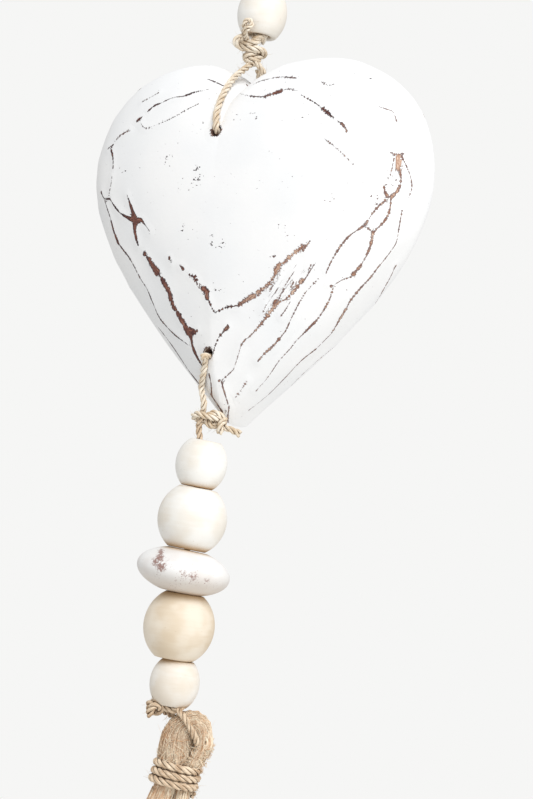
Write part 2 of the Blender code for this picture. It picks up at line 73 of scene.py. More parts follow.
def addNode(tree, kind, settings, inputs, output=0):
    # adds a node with its settings and links, and gives back one of its outputs
    node = tree.nodes.new("ShaderNode" + kind)
    for name, value in settings.items():
        setattr(node, name, value)
    for name, value in inputs.items():
        if isinstance(value, bpy.types.NodeSocket):
            tree.links.new(value, node.inputs[name])
        else:
            node.inputs[name].default_value = value
    return node.outputs[output] if node.outputs else node


def newMaterial(name, roughness):
    material = bpy.data.materials.new(name)
    material.use_nodes = True
    shader = material.node_tree.nodes["Principled BSDF"]
    shader.inputs["Roughness"].default_value = roughness
    return material, material.node_tree, shader


def meshPiece(name, points, faces, material, node, smooth=True):
    mesh = bpy.data.meshes.new(name)
    mesh.from_pydata([tuple(p) for p in points], [], faces)
    mesh.materials.append(material)
    if smooth:
        mesh.shade_smooth()
    return dressed(bpy.data.objects.new(name, mesh), node)


def dressed(piece, node):
    if piece.name not in bpy.context.collection.objects:
        bpy.context.collection.objects.link(piece)
    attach(piece, "root")
    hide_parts(node)
    return piece


# Sizes in millimetres, the same as the solids', apart from the thickness of the slings and the binding

rope = dict(thick=3.6, gap=0.3, upper=2.9, binding=3.2)
hang = dict(height=55.0, width=22.0)
beads = dict(  # radius, height, flat at the bore, shift to the picture's right
    top=(10.7, 19.6, 6.3, 0.0),
    one=(10.8, 19.6, 5.6, 1.2),
    two=(14.5, 25.6, 7.0, 0.0),
    disc=(19.7, 17.6, 7.5, -1.2),
    three=(14.8, 27.2, 7.0, -0.5),
    four=(10.4, 18.8, 5.6, 0.3),
)
chain = dict(x=4.0, y=-16.0, drop=7.6, space=0.3)
tipX = 10.5
tipZ = -hang["height"] - beads["top"][1] / 2 - 22.3 - 155.7
viewTurn = math.radians(32)
rightward = Vector((math.cos(viewTurn), math.sin(viewTurn), 0))
forward = Vector((math.sin(viewTurn), -math.cos(viewTurn), 0))


def chainPlace(r, f, z):
    return Vector((chain["x"], chain["y"], z)) + rightward * r + forward * f


# Camera: the photograph's viewpoint, a little below the heart and to its right.
# Degrees and millimetres, the picture's size in pixels and a pixel's size at the heart in mm
view = dict(turn=32.355, roll=6.296, up=4.010, away=850.0, aside=-11.056, above=46.591,
            lens=91.19, width=533, height=799, pixel=0.42)
turned = Matrix.Rotation(math.radians(view["turn"]), 4, "Z")
eye = turned @ Vector((-view["aside"], -view["away"], -view["above"])) + Vector((tipX, 0, tipZ))
camera = bpy.data.objects.new("camera", bpy.data.cameras.new("camera"))
bpy.context.collection.objects.link(camera)
camera.data.sensor_width = 36
camera.data.lens = view["lens"]
camera.data.clip_start = 0.01
camera.matrix_world = (
    Matrix.Translation(eye * mm) @ turned
    @ Matrix.Rotation(math.radians(90 + view["up"]), 4, "X")
    @ Matrix.Rotation(math.radians(view["roll"]), 4, "Z")
)
bpy.context.scene.camera = camera
cameraPose = np.array(camera.matrix_world)
focal = view["lens"] / 36 * view["height"]


def pixelRay(u, v):
    away = Vector(((u - view["width"] / 2) / focal, (view["height"] / 2 - v) / focal, -1))
    return (camera.matrix_world.to_3x3() @ away).normalized()


def pixelsOf(points):  # points in metres, one a row
    local = (points - cameraPose[:3, 3]) @ cameraPose[:3, :3]
    return np.stack([
        view["width"] / 2 - local[:, 0] / local[:, 2] * focal,
        view["height"] / 2 + local[:, 1] / local[:, 2] * focal,
    ], axis=1)


print("camera set")


# Rope: three plies laid right-handed, with a few loose fibres

ropeLook = dict(
    plies=3, plyShare=0.46,  # a ply's thickness as a share of the rope's
    lay=3.2,  # length of one turn, in rope thicknesses
    sides=9, step=0.45,  # faces round a ply and mm from ring to ring
    frayOver=10, fraySpread=0.35,  # rings that a cut end opens over and how far, in mm
    fibres=0.9, fibreLength=(1.2, 4.2), fibreRadius=0.045,  # loose fibres to a mm and their size in mm
)


def smoothRoute(points, spacing):
    route = [Vector(p) for p in points]
    route = [2 * route[0] - route[1]] + route + [2 * route[-1] - route[-2]]
    fine = []
    for a, b, c, d in zip(route, route[1:], route[2:], route[3:]):
        start, end = (c - a) / 6, (d - b) / 6
        fine += geometry.interpolate_bezier(b, b + start, c - end, c, 24)[:-1]
    fine.append(route[-2])
    length = sum((b - a).length for a, b in zip(fine, fine[1:]))
    steps = max(2, round(length / spacing))
    picked, walked, target = [fine[0]], 0.0, length / steps
    for a, b in zip(fine, fine[1:]):
        piece = (b - a).length
        while walked + piece >= target - 1e-6 and len(picked) < steps:
            picked.append(a.lerp(b, (target - walked) / piece))
            target += length / steps
        walked += piece
    picked.append(fine[-1])
    return picked


def framesAlong(route):  # a direction, a side and an up for each point, without twist
    frames, side = [], None
    for index in range(len(route)):
        ahead = (route[min(index + 1, len(route) - 1)] - route[max(index - 1, 0)]).normalized()
        if side is None:
            side = ahead.orthogonal().normalized()
        side = (side - ahead * side.dot(ahead)).normalized()
        frames.append((ahead, side, ahead.cross(side)))
    return frames


class Strands:
    # gathers tubes into one mesh with a uv along and round each

    def __init__(self):
        self.points, self.faces, self.uvs, self.tones = [], [], [], []

    def tube(self, route, radii, sides, tone, closed=True):
        base, along = len(self.points), 0.0
        frames = framesAlong(route)
        places = []
        for index, (place, (_, side, up)) in enumerate(zip(route, frames)):
            if index:
                along += (place - route[index - 1]).length
            places.append(along)
            for k in range(sides):
                turn = 2 * math.pi * k / sides
                self.points.append(place + (side * math.cos(turn) + up * math.sin(turn)) * radii[index])
        for index in range(len(route) - 1):
            for k in range(sides):
                n = (k + 1) % sides
                a, b = base + index * sides, base + (index + 1) * sides
                self.faces.append((a + k, a + n, b + n, b + k))
                for at, step in ((index, k), (index, k + 1), (index + 1, k + 1), (index + 1, k)):
                    self.uvs.append((places[at], step / sides * 2 * math.pi * radii[at]))
                self.tones.append(tone)
        if closed:
            lastRing = base + (len(route) - 1) * sides
            for ring, order in ((base, range(sides - 1, -1, -1)), (lastRing, range(sides))):
                self.faces.append(tuple(ring + k for k in order))
                self.uvs += [(places[0 if ring == base else -1], 0.0)] * sides
                self.tones.append(tone)

    def piece(self, name, material, node, slot):
        made = meshPiece(name, [p * mm for p in self.points], self.faces, material, node)
        layer = made.data.uv_layers.new(name="alongAndRound")
        layer.data.foreach_set("uv", [n for pair in self.uvs for n in pair])
        tone = made.data.attributes.new("tone", "FLOAT", "FACE")
        tone.data.foreach_set("value", self.tones)
        return made


def layRope(strands, points, thick, chance, loose=1.0, frayEnd=False, hairs=None):
    # plies wind round the middle line; their ends open a little where the rope is cut
    route = smoothRoute(points, ropeLook["step"])
    frames = framesAlong(route)
    plies, frayOver = ropeLook["plies"], ropeLook["frayOver"]
    plyR = thick / 2 * ropeLook["plyShare"]
    winding = thick / 2 - plyR
    lay = ropeLook["lay"] * thick
    spread = [0.0] * len(route)
    if frayEnd:
        for k in range(min(frayOver, len(route))):
            spread[-1 - k] = (1 - k / frayOver) ** 2 * ropeLook["fraySpread"]
    start = chance.uniform(0, 2 * math.pi)
    for number in range(plies):
        tone = chance.uniform(0.35, 0.65)
        middle, radii = [], []
        for index, place in enumerate(route):
            _, side, up = frames[index]
            turn = start + 2 * math.pi * (number / plies + index * ropeLook["step"] / lay)
            uneven = 1 + 0.07 * math.sin(index * 0.21 + number * 2 + start)
            reach = (winding + spread[index]) * uneven
            middle.append(place + (side * math.cos(turn) + up * math.sin(turn)) * reach)
            radii.append(plyR * (1.02 + 0.06 * math.sin(index * 0.13 + number + start)))
        strands.tube(middle, radii, ropeLook["sides"], tone)
    length = len(route) * ropeLook["step"]
    for _ in range(int(length * ropeLook["fibres"] * loose)):
        index = chance.randrange(len(route))
        looseFibre(hairs or strands, route[index], frames[index], thick / 2, chance)
    return route


def looseFibre(strands, place, around, radius, chance, length=None, thick=None):
    ahead, side, up = around
    turn = chance.uniform(0, 2 * math.pi)
    outward = side * math.cos(turn) + up * math.sin(turn)
    heading = (outward * chance.uniform(0.4, 1.0) + ahead * chance.uniform(-1.2, 1.2)).normalized()
    length = length or chance.uniform(*ropeLook["fibreLength"])
    bend = Vector([chance.uniform(-1, 1) for _ in range(3)]) * 0.55
    at, run = place + outward * radius * 0.85, []
    for _ in range(5):
        run.append(at.copy())
        at = at + heading * length / 4
        heading = (heading + bend * 0.5).normalized()
    thin = thick or ropeLook["fibreRadius"]
    strands.tube(run, [thin, thin, thin, thin * 0.8, thin * 0.4], 3, chance.uniform(0.5, 1.0), closed=False)


def twistedJute(name, deep, dark, light):
    # laid jute twine, dry and matt: straw-coloured fibres, with painted shade, brown, deep between the plies
    material, tree, shader = newMaterial(name, 0.88)
    shader.inputs["Specular IOR Level"].default_value = 0.2
    run = addNode(tree, "UVMap", {"uv_map": "alongAndRound"}, {})
    tone = addNode(tree, "Attribute", {"attribute_name": "tone"}, {}, "Fac")
    place = addNode(tree, "TexCoord", {}, {}, "Object")
    # single fibres 0.35 mm apart and about 3 mm long, lying along each ply; shades change every 5 mm
    laid = addNode(tree, "Mapping", {}, {"Vector": run, "Scale": (1 / 3.0, 1 / 0.35, 1.0)})
    fibre = addNode(tree, "TexNoise", {}, {
        "Vector": laid, "Scale": 1.0, "Detail": 4.0, "Roughness": 0.7}, "Fac")
    blotch = addNode(tree, "TexNoise", {}, {"Vector": place, "Scale": 1 / (5 * mm), "Detail": 2.0}, "Fac")
    both = addNode(tree, "Math", timesPlus, {0: blotch, 1: 0.7, 2: fibre})
    toned = addNode(tree, "Math", timesPlus, {0: tone, 1: 0.25, 2: both})
    pale = addNode(tree, "MapRange", eased, {"Value": toned, "From Min": 0.72, "From Max": 1.2})
    straw = addNode(tree, "Mix", blend, {0: pale, 6: hexLinear(dark), 7: hexLinear(light)}, 2)
    # painted shade: ambient occlusion darkens the colour to brown deep between plies, reaching about 1 mm
    openness = addNode(tree, "AmbientOcclusion", {"samples": 8}, {"Distance": 1.0 * mm}, "AO")
    clear = addNode(tree, "MapRange", eased, {"Value": openness, "From Min": 0.2, "From Max": 0.8})
    colour = addNode(tree, "Mix", blend, {0: clear, 6: hexLinear(deep), 7: straw}, 2)
    tree.links.new(colour, shader.inputs["Base Color"])
    bump = addNode(tree, "Bump", {}, {"Strength": 0.8, "Distance": 0.15 * mm, "Height": fibre})
    tree.links.new(bump, shader.inputs["Normal"])
    return material


# the first colour of each rope is its painted shade between the plies
paleRope = twistedJute("pale_twisted_jute_rope", "#8C6E50", "#C8AF8E", "#F6EEDF")
brownRope = twistedJute("brown_twisted_jute_rope", "#3E2A18", "#A98663", "#F3E0C6")


def hangingLoop():
    strandX = rope["thick"] / 2 + rope["gap"] / 2
    beadTop = -hang["height"]
    low = beadTop - beads["top"][1] - rope["gap"]
    side = [
        (strandX, 0, low),
        (strandX, 0, beadTop - beads["top"][1] / 2),
        (strandX, 0, beadTop),
        (strandX + 1.2, 0, beadTop * 0.8),
        (hang["width"] * 0.36, 0, beadTop * 0.52),
        (hang["width"] / 2, 0, beadTop * 0.25),
        (hang["width"] * 0.38, 0, beadTop * 0.04),
    ]
    points = side + [(0, 0, rope["thick"] / 2)] + [(-x, y, z) for x, y, z in reversed(side)]
    strands, hairs = Strands(), Strands()
    path = layRope(strands, points, rope["thick"], random.Random(3), hairs=hairs)
    piece = strands.piece("hanging_rope_loop", paleRope, "hanging_loop", "rope")
    fibres = hairs.piece("hanging_loop_fibres", paleRope, "hanging_loop", "rope")


hangingLoop()
print("hanging loop laid")


# Heart: the same full, cushion-like body as the solid, with its gouge cuts and rubbed ridges.
# Its holes are narrower than the solid's, because the rope through them is thinner

heart = dict(
    high=155.7, leftWide=76.7, rightWide=84.3, frontDeep=30.1, backDeep=28.6, fullness=0.694,
    tilt=-3.35, cleft=0.907, middle=0.58, thinning=0.053, lobeStep=1.2,
    wideAt=(0.669, 0.705), lobeAt=(0.412, 0.364), flank=(0.428, 0.345),
    cells=116, cutDeep=0.3, cutWide=4.0, holeWide=4.8, holeX=-1.9, topHole=34.7, lowHole=28.4,
)

# Ridges where the paint is rubbed through, read from the photograph: picture points, half widths in mm at
# their two ends, and how ragged the edge is
ridges = dict(
    topLeftNode=([(137, 121), (142, 117)], 0.9, 0.6, 0.9),
    topLeft=([(147, 112), (154, 106), (161, 103)], 0.4, 0.5, 0.8),
    topLeftThin=([(161, 103), (172, 98), (185, 96)], 0.2, 0.22, 0.6),
    topLeftEnd=([(185, 96), (192, 93), (199, 91)], 0.6, 0.5, 0.8),
    topLeftTip=([(202, 91), (209, 89)], 0.12, 0.2, 0.6),
    underTopLeft=([(139, 120), (145, 128), (156, 125), (172, 118), (186, 110), (198, 104)], 0.12, 0.16, 1.0),
    cleftLeft=([(208, 79), (215, 82), (224, 86)], 0.3, 0.35, 0.5),
    cleftRight=([(254, 84), (264, 80), (280, 77), (296, 78)], 0.2, 0.45, 1.4),
    topMiddle=([(238, 93), (250, 96), (262, 97)], 0.1, 0.35, 0.9),
    topMiddleWide=([(264, 97), (272, 94), (281, 91)], 0.7, 1.0, 1.5),
    topMiddleEnd=([(283, 90), (290, 89), (297, 91)], 0.1, 0.15, 1.4),
    topRight=([(301, 95), (312, 101), (321, 107)], 0.3, 0.25, 0.8),
    topRightMid=([(322, 108), (328, 113), (333, 117)], 0.7, 0.7, 1.2),
    topRightEnd=([(338, 121), (342, 124), (344.5, 127)], 0.3, 0.9, 1.0),
    topRightTip=([(344.5, 127), (346, 130), (347, 134)], 0.8, 0.1, 1.0),
    rightField=([(325, 139), (335, 147), (345, 156), (354, 165)], 0.12, 0.15, 1.4),
    farRightTop=([(377, 106), (386, 109), (393, 112), (397, 122)], 0.26, 0.26, 0.4),
    patchEdge=([(391, 152.5), (397, 154.5), (404, 153)], 0.3, 0.3, 0.8),
    patch=([(397.5, 155), (398, 164)], 2.5, 2.0, 0.9),
    patchLow=([(397.5, 163), (398, 168), (400, 172)], 1.2, 0.5, 1.2),
    patchRight=([(401, 155), (405, 163), (410, 175), (412, 187), (409, 197)], 0.35, 0.35, 0.7),
    patchLeft=([(394, 158), (392, 168), (390, 176)], 0.4, 0.25, 0.8),
    patchDown=([(400, 168), (401, 178), (400, 186)], 0.5, 0.4, 1.2),
    nodeRight=([(399, 188), (396, 193), (391, 197)], 0.6, 0.9, 1.0),
    nodeLeft=([(384, 187), (386, 194), (391, 197)], 0.4, 0.9, 1.0),
    chainLeft=([(387, 199), (377, 208), (370, 217), (365, 225)], 0.35, 0.6, 1.2),
    chainLeftDown=([(365, 225), (356, 231), (348, 237), (340, 247), (333, 258), (326, 273)], 0.55, 0.2, 0.7),
    chainRight=([(391, 198), (390, 208), (386, 219), (373, 233)], 0.5, 0.5, 1.0),
    chainRightDown=([(373, 233), (371, 244), (366, 257)], 0.8, 0.4, 0.8),
    chainRightNode=([(366, 257), (359, 268), (353, 275)], 0.4, 0.9, 0.8),
    chainLink=([(364, 225), (369, 229), (373, 233)], 0.25, 0.4, 0.9),
    chainLow=([(351, 277), (342, 280), (334, 285)], 0.25, 0.15, 0.8),
    chainLowNode=([(331, 286), (334, 288)], 0.6, 0.4, 0.8),
    chainLowDown=([(333, 288), (330, 298), (324, 310)], 0.25, 0.4, 0.9),
    chainLowTan=([(324, 310), (316, 321), (308, 329), (296, 341)], 0.6, 0.4, 0.6),
    chainLowEnd=([(296, 341), (289, 350), (279, 361), (268, 377), (256, 391)], 0.25, 0.12, 0.6),
    rimLong=([(402, 211), (399, 228), (396, 243), (388, 255), (381, 264)], 0.3, 0.2, 0.6),
    rimLongThick=([(379, 266), (370, 278), (359, 290), (350, 301)], 0.4, 0.5, 0.8),
    rimLongTan=([(350, 301), (346, 309), (340, 319), (331, 334)], 0.7, 0.45, 0.8),
    rimLongEnd=([(331, 334), (317, 348), (301, 361), (284, 379), (268, 395), (248, 411)], 0.4, 0.15, 0.5),
    rimOuter=([(396, 265), (391, 276), (385, 287), (375, 304), (362, 321), (352, 331), (343, 340),
               (322, 357), (305, 372), (291, 386)], 0.35, 0.15, 0.8),
    innerLong=([(318, 279), (306, 292), (300, 301)], 0.1, 0.14, 1.2),
    innerLongDown=([(300, 301), (296, 309), (291, 319), (286, 330), (280, 338)], 0.25, 0.28, 0.5),
    innerLongEnd=([(280, 338), (272, 347), (265, 353), (258, 361)], 0.5, 0.4, 0.7),
    fieldTopRight=([(310, 241), (307, 245), (303, 250)], 0.5, 0.4, 1.0),
    fieldLowRight=([(303, 246), (297, 251), (290, 257), (285, 262)], 0.6, 1.1, 1.7),
    fieldLowRightEdge=([(285, 262), (279, 267), (275, 274)], 1.6, 1.4, 2.0),
    fieldLowRightThin=([(275, 274), (271, 281), (264, 288)], 0.9, 0.6, 1.2),
    fieldLowRightDown=([(264, 288), (256, 294), (248, 299), (239, 305)], 0.8, 1.3, 1.7),
    fieldTip=([(239, 306), (228, 307), (216, 312)], 0.4, 0.6, 1.2),
    underFieldTop=([(303, 280), (298, 286), (292, 293)], 0.8, 0.8, 1.3),
    underField=([(291, 294), (286, 299), (280, 302)], 0.4, 0.3, 1.2),
    underFieldThick=([(278, 303), (274, 307), (269, 313)], 0.85, 0.9, 1.6),
    underFieldLow=([(269, 313), (265, 319), (261, 324)], 0.8, 0.45, 1.4),
    underFieldThin=([(261, 324), (255, 331), (250, 336)], 0.45, 0.2, 1.0),
    underFieldEnd=([(249, 337), (245, 340), (242, 344)], 0.2, 0.7, 1.0),
    underFieldUp=([(276, 300), (274, 304)], 0.6, 0.8, 1.2),
    brushOne=([(315.5, 263), (310, 271), (305, 279)], 0.2, 0.26, 0.3),
    brushTwo=([(311, 265), (308, 271)], 0.22, 0.2, 0.8),
    brushThree=([(278, 280), (274, 285), (270, 291)], 0.22, 0.18, 0.6),
    brushFour=([(283, 288), (281, 294), (278.5, 300)], 0.18, 0.32, 0.5),
    brushFive=([(293.5, 282), (291, 287)], 0.25, 0.35, 0.7),
    brushSix=([(284, 289), (282, 293)], 0.25, 0.3, 0.7),
    brushSeven=([(294, 272), (289, 279), (285, 286)], 0.14, 0.18, 0.7),
    brushEight=([(280, 275), (275, 282), (270, 289)], 0.14, 0.16, 0.7),
    brushNine=([(266, 305), (263, 312)], 0.15, 0.2, 0.9),
    brushTen=([(283, 264), (279, 271), (275, 277)], 0.3, 0.2, 1.4),
    lowOne=([(290, 302), (286, 309), (281, 316)], 0.12, 0.3, 0.6),
    underFieldDown=([(241, 345), (238, 356), (234, 368)], 0.14, 0.12, 0.6),
    leftNode=([(134, 220), (136, 221), (139, 221)], 1.5, 1.2, 0.6),
    leftNodeUp=([(135, 219), (132, 210), (127, 195)], 1.2, 0.25, 0.4),
    leftNodeOut=([(134, 220), (128, 218), (120, 213)], 1.1, 0.3, 0.4),
    leftNodeEdge=([(120, 213), (115, 207), (110, 199)], 0.4, 0.35, 0.4),
    leftNodeDown=([(135, 222), (135, 233), (138, 245)], 1.5, 0.5, 0.5),
    leftNodeIn=([(138, 220), (142, 221), (150, 232)], 1.0, 0.02, 0.6),
    leftBand=([(145, 254), (150, 262), (158, 273), (167, 289), (173, 304), (180, 318),
               (187, 331)], 1.2, 1.6, 1.5),
    leftBandTop=([(147, 256), (152, 265), (157, 273)], 1.2, 1.5, 1.5),
    leftBandNode=([(188, 332), (193, 333), (197, 331)], 2.2, 1.4, 1.0),
    leftBandNodeLow=([(190, 334), (192, 343)], 2.1, 1.2, 0.8),
    leftBandDown=([(191, 340), (193, 348), (197, 357), (203, 367)], 1.1, 0.35, 0.5),
    sideNode=([(116, 140), (121, 135), (129, 130)], 0.3, 0.4, 1.7),
    sideNodeLow=([(108, 149), (110, 147), (113, 145)], 0.6, 0.4, 0.6),
    sideLine=([(111, 150), (113, 158), (113, 168)], 0.6, 0.35, 0.5),
    sideLineLow=([(112, 176), (111, 184), (109, 194)], 0.12, 0.2, 0.8),
    edgeNode=([(101, 192), (104, 198), (110, 199)], 0.5, 0.4, 0.5),
    edgeLineTop=([(104, 198), (107, 208), (110, 217)], 0.4, 0.3, 0.5),
    edgeLineWide=([(111, 221), (114, 232), (118, 243)], 0.5, 0.9, 0.6),
    edgeLine=([(118, 243), (124, 251), (130, 259), (140, 278), (147, 289), (152, 301), (159, 317),
               (167, 327), (175, 335), (188, 345)], 0.4, 0.35, 0.6),
    flankLine=([(158, 327), (165, 336), (173, 347), (181, 359), (189, 371), (199, 384)], 0.2, 0.65, 0.4),
    fieldLowLeft=([(169, 258), (171, 262)], 0.7, 0.5, 1.2),
    fieldLowLeftDot=([(180.5, 266), (183, 269)], 0.7, 0.5, 1.2),
    fieldLowLeftMid=([(190, 275), (195, 278), (197, 284)], 0.9, 0.6, 1.8),
    fieldLowLeftNode=([(202, 288), (206, 291), (207, 298)], 1.1, 1.0, 1.6),
    fieldLowLeftEnd=([(208, 299), (211, 306), (214, 312)], 0.5, 0.4, 0.9),
    belowField=([(227, 327), (224, 331), (219, 337)], 1.1, 0.8, 1.1),
    belowFieldDown=([(218, 339), (215, 346), (213, 353)], 0.35, 0.2, 0.8),
    belowHole=([(209, 374), (211, 384), (211.5, 394)], 0.5, 0.5, 0.4),
    belowHoleArm=([(211, 395), (215, 401), (219, 407), (222, 412)], 0.6, 0.6, 0.4),
    tipNode=([(222, 380), (229, 374), (234, 369)], 0.3, 0.12, 0.6),
    tipNodeMiddle=([(219, 381), (222, 381)], 1.1, 1.1, 0.5),
    tipNodeDown=([(221, 381), (224, 391), (228, 404)], 0.35, 0.25, 0.4),
    tipNodeEnd=([(229, 407), (228, 416), (228, 425)], 0.6, 0.5, 0.4),
    tipRight=([(236, 397), (241, 390), (247, 381)], 0.2, 0.12, 1.2),
    topFaint=([(322, 82), (328, 85), (334, 84)], 0.12, 0.12, 1.6),
    leftFaint=([(142, 102), (151, 97), (158, 93)], 0.12, 0.12, 1.2),
)

# Specks where the paint is only just worn: picture point and spread in mm
specks = [
    ((210, 244), 2.0, 1.0), ((218, 245), 2.2, 1.0), ((225, 248), 2.0, 1.0), ((168, 158), 4.0, 1.1),
    ((172, 168), 3.0, 0.7), ((198, 167), 2.4, 1.8), ((195, 181), 3.6, 1.35), ((122, 172), 3.0, 1.1),
    ((124, 172), 2.8, 1.0), ((212, 244), 3.0, 1.0), ((222, 246), 2.6, 1.4), ((237, 117), 4.0, 0.9),
    ((255, 114), 3.6, 0.9), ((301, 117), 3.0, 0.7), ((185, 226), 2.6, 1.3), ((193, 236), 2.2, 1.2),
    ((273, 256), 1.6, 1.7), ((287, 232), 3.6, 0.8), ((332, 199), 1.6, 1.4), ((317, 229), 2.0, 1.0),
    ((330, 84), 2.6, 1.0), ((371, 76), 2.4, 0.9), ((408, 145), 2.0, 0.9), ((373, 195), 1.6, 1.0),
    ((282, 227), 2.0, 0.9), ((170, 260), 1.3, 1.7), ((182, 267), 1.3, 1.6), ((218, 289), 3.0, 1.0),
    ((253, 312), 3.0, 0.8), ((380, 202), 4.0, 1.1), ((390, 182), 3.6, 1.3), ((311, 194), 1.4, 0.9),
    ((205, 125), 2.0, 0.6),
]
# dry brush marks between two ridges: picture points, mm and the way of the brush in the picture
brushed = dict(start=(300, 272), end=(268, 302), wide=4.6, lead=(0.53, -0.85))
fieldEdge = [  # the smooth front field's border
    (146, 130), (158, 124), (172, 118), (198, 104), (222, 96), (238, 94), (264, 95), (290, 90), (304, 95),
    (320, 105), (333, 116), (347, 129), (356, 150), (364, 170), (368, 192), (360, 214), (345, 230),
    (326, 240), (310, 243), (292, 257), (277, 270), (264, 290), (238, 306), (215, 312), (207, 298),
    (193, 276), (182, 267), (170, 260), (155, 247), (144, 232), (137, 212), (131, 190), (129, 165),
    (135, 145),
]


def outlineHalf(width, topZ, wideAt, lobeAt, flank, count):
    cleftZ, wideZ, lobeX = heart["cleft"] * heart["high"], wideAt * heart["high"], lobeAt * width
    curves = (
        ((0, cleftZ), (lobeX * 0.25, cleftZ + (topZ - cleftZ) * 0.75), (lobeX * 0.55, topZ), (lobeX, topZ)),
        ((lobeX, topZ), (lobeX + (width - lobeX) * 0.6, topZ),
         (width, wideZ + (topZ - wideZ) * 0.55), (width, wideZ)),
        ((width, wideZ), (width, wideZ * (1 - flank)), (width * 0.3, wideZ * 0.22), (0.4, 0)),
    )
    fine = []
    for curve in curves:
        fine += geometry.interpolate_bezier(*(Vector(p) for p in curve), 200)[:-1]
    fine = np.array([tuple(p) for p in fine] + [(0, 0)])
    walked = np.concatenate([[0], np.cumsum(np.linalg.norm(np.diff(fine, axis=0), axis=1))])
    even = np.linspace(0, walked[-1], count + 1)
    return np.stack([np.interp(even, walked, fine[:, k]) for k in (0, 1)], axis=1)


class HeartBody:
    # places on the body from the direction seen in front and the angle from the front's middle

    def __init__(self, columns=960):
        half = columns // 2
        right = outlineHalf(heart["rightWide"], heart["high"] - heart["lobeStep"],
                            heart["wideAt"][0], heart["lobeAt"][0], heart["flank"][0], half)
        left = outlineHalf(heart["leftWide"], heart["high"] + heart["lobeStep"],
                           heart["wideAt"][1], heart["lobeAt"][1], heart["flank"][1], half)
        self.outline = np.concatenate([right, left[1:-1][::-1] * (-1, 1)])
        self.middle = np.array((0, heart["middle"] * heart["high"]))
        away = self.outline - self.middle
        reach = np.linalg.norm(away, axis=1)
        window = round(columns * 6 / 80)
        padded = np.concatenate([reach[-window:], reach, reach[:window]])
        inner = np.convolve(padded, np.ones(2 * window + 1) / (2 * window + 1), "valid")
        turn = np.arctan2(away[:, 1], away[:, 0])
        order = np.argsort(turn)
        self.turn, self.reach, self.inner = turn[order], reach[order], inner[order]
        self.columnTurn = turn

    def place(self, turn, angle, sink=0.0):
        # turn and angle in radians, one each a point; gives millimetres in the whole piece's frame
        out = np.sin(angle)
        edge = np.interp(turn, self.turn, self.reach, period=2 * np.pi)
        inner = np.interp(turn, self.turn, self.inner, period=2 * np.pi)
        reach = edge * out**1.5 + inner * (1 - out**1.5)
        x = self.middle[0] + np.cos(turn) * out * reach
        z = self.middle[1] + np.sin(turn) * out * reach
        deep = np.where(angle < np.pi / 2, heart["frontDeep"], heart["backDeep"])
        thin = 1 - heart["thinning"] * np.maximum(0, 1 - z / (0.5 * heart["high"])) ** 1.3
        rise = np.abs(np.cos(angle)) ** heart["fullness"]
        y = -np.sign(np.pi / 2 - angle) * deep * rise * thin
        x = x - np.cos(turn) * out * sink
        y = y + np.cos(angle) * sink
        z = z - np.sin(turn) * out * sink
        lean = math.radians(heart["tilt"])
        return np.stack([x * math.cos(lean) + z * math.sin(lean) + tipX, y,
                         z * math.cos(lean) - x * math.sin(lean) + tipZ], axis=-1)


def evenAngle(fromPole):
    # spreads the mesh evenly over the flattened body instead of over a ball
    grid = np.linspace(0, np.pi, 720)
    flat = heart["frontDeep"] / (heart["high"] / 2)
    area = np.sin(grid) * np.sqrt(np.cos(grid) ** 2 + (flat * np.sin(grid)) ** 2 + 0.02)
    share = np.concatenate([[0], np.cumsum((area[1:] + area[:-1]) / 2)])
    share /= share[-1]
    return np.interp((1 - np.cos(fromPole)) / 2, share, grid)


def cubeBall(cells):
    # a ball of six square nets; returns its unit points and faces
    places, points, faces = {}, [], []
    for axis in range(3):
        for sign in (-1, 1):
            rows = []
            for i in range(cells + 1):
                row = []
                for j in range(cells + 1):
                    a, b = (math.tan(math.pi / 4 * (2 * k / cells - 1)) for k in (i, j))
                    corner = [0, 0, 0]
                    corner[axis], corner[(axis + 1) % 3], corner[(axis + 2) % 3] = sign, a * sign, b
                    key = tuple(round(c, 6) for c in corner)
                    if key not in places:
                        places[key] = len(points)
                        points.append(corner)
                    row.append(places[key])
                rows.append(row)
            for i in range(cells):
                for j in range(cells):
                    faces.append((rows[i][j], rows[i + 1][j], rows[i + 1][j + 1], rows[i][j + 1]))
    points = np.array(points, float)
    return points / np.linalg.norm(points, axis=1, keepdims=True), faces


def zigzag(phase):
    return 4 * abs(phase % 1.0 - 0.5) - 1


# ridges out of the camera's sight: rows in degrees from the front's middle, cuts in a front and a back row,
# degrees of swing, half widths in mm, and mm kept clear of the ridges read from the photograph
hiddenRidges = dict(
    rows=[38, 50, 62, 74, 86, 97, 108, 121, 136], cuts=(11, 9), frontRows=5, swing=5.6,
    widths=(0.1, 0.3, 0.55, 0.8, 1.1), ragged=0.8, clear=7.5, seenWithin=6, steps=900,
)


def wanderingRidges(body, chance):
    # rows of ridges round the flank and the back, each a zigzag that meets the next row's
    lines = []
    steps = hiddenRidges["steps"]
    for number, angle in enumerate(hiddenRidges["rows"]):
        cuts = hiddenRidges["cuts"][number >= hiddenRidges["frontRows"]]
        drift = chance.uniform(-0.12, 0.12)
        sway = [chance.uniform(0.5, 1.0) for _ in range(cuts + 1)]
        wear = [chance.choice(hiddenRidges["widths"]) for _ in range(cuts * 2 + 1)]
        line = []
        for step in range(steps):
            share = step / steps
            phase = share * cuts + 0.5 * (number % 2) + drift
            towardsTip = 0.5 - 0.5 * math.cos(2 * math.pi * share)
            reach = hiddenRidges["swing"] * sway[int(phase) % cuts] * zigzag(phase)
            width = wear[int(phase * 2) % len(wear)]
            line.append((share, angle - 9 * towardsTip**3 * (angle < 70) + reach, width))
        lines.append(line)
    shares = np.array([[p[0] for p in line] for line in lines]).ravel()
    angles = np.radians(np.array([[p[1] for p in line] for line in lines]).ravel())
    wear = np.array([[p[2] for p in line] for line in lines]).ravel()
    turns = body.columnTurn[(shares * len(body.columnTurn)).astype(int)]
    return body.place(turns, angles), wear


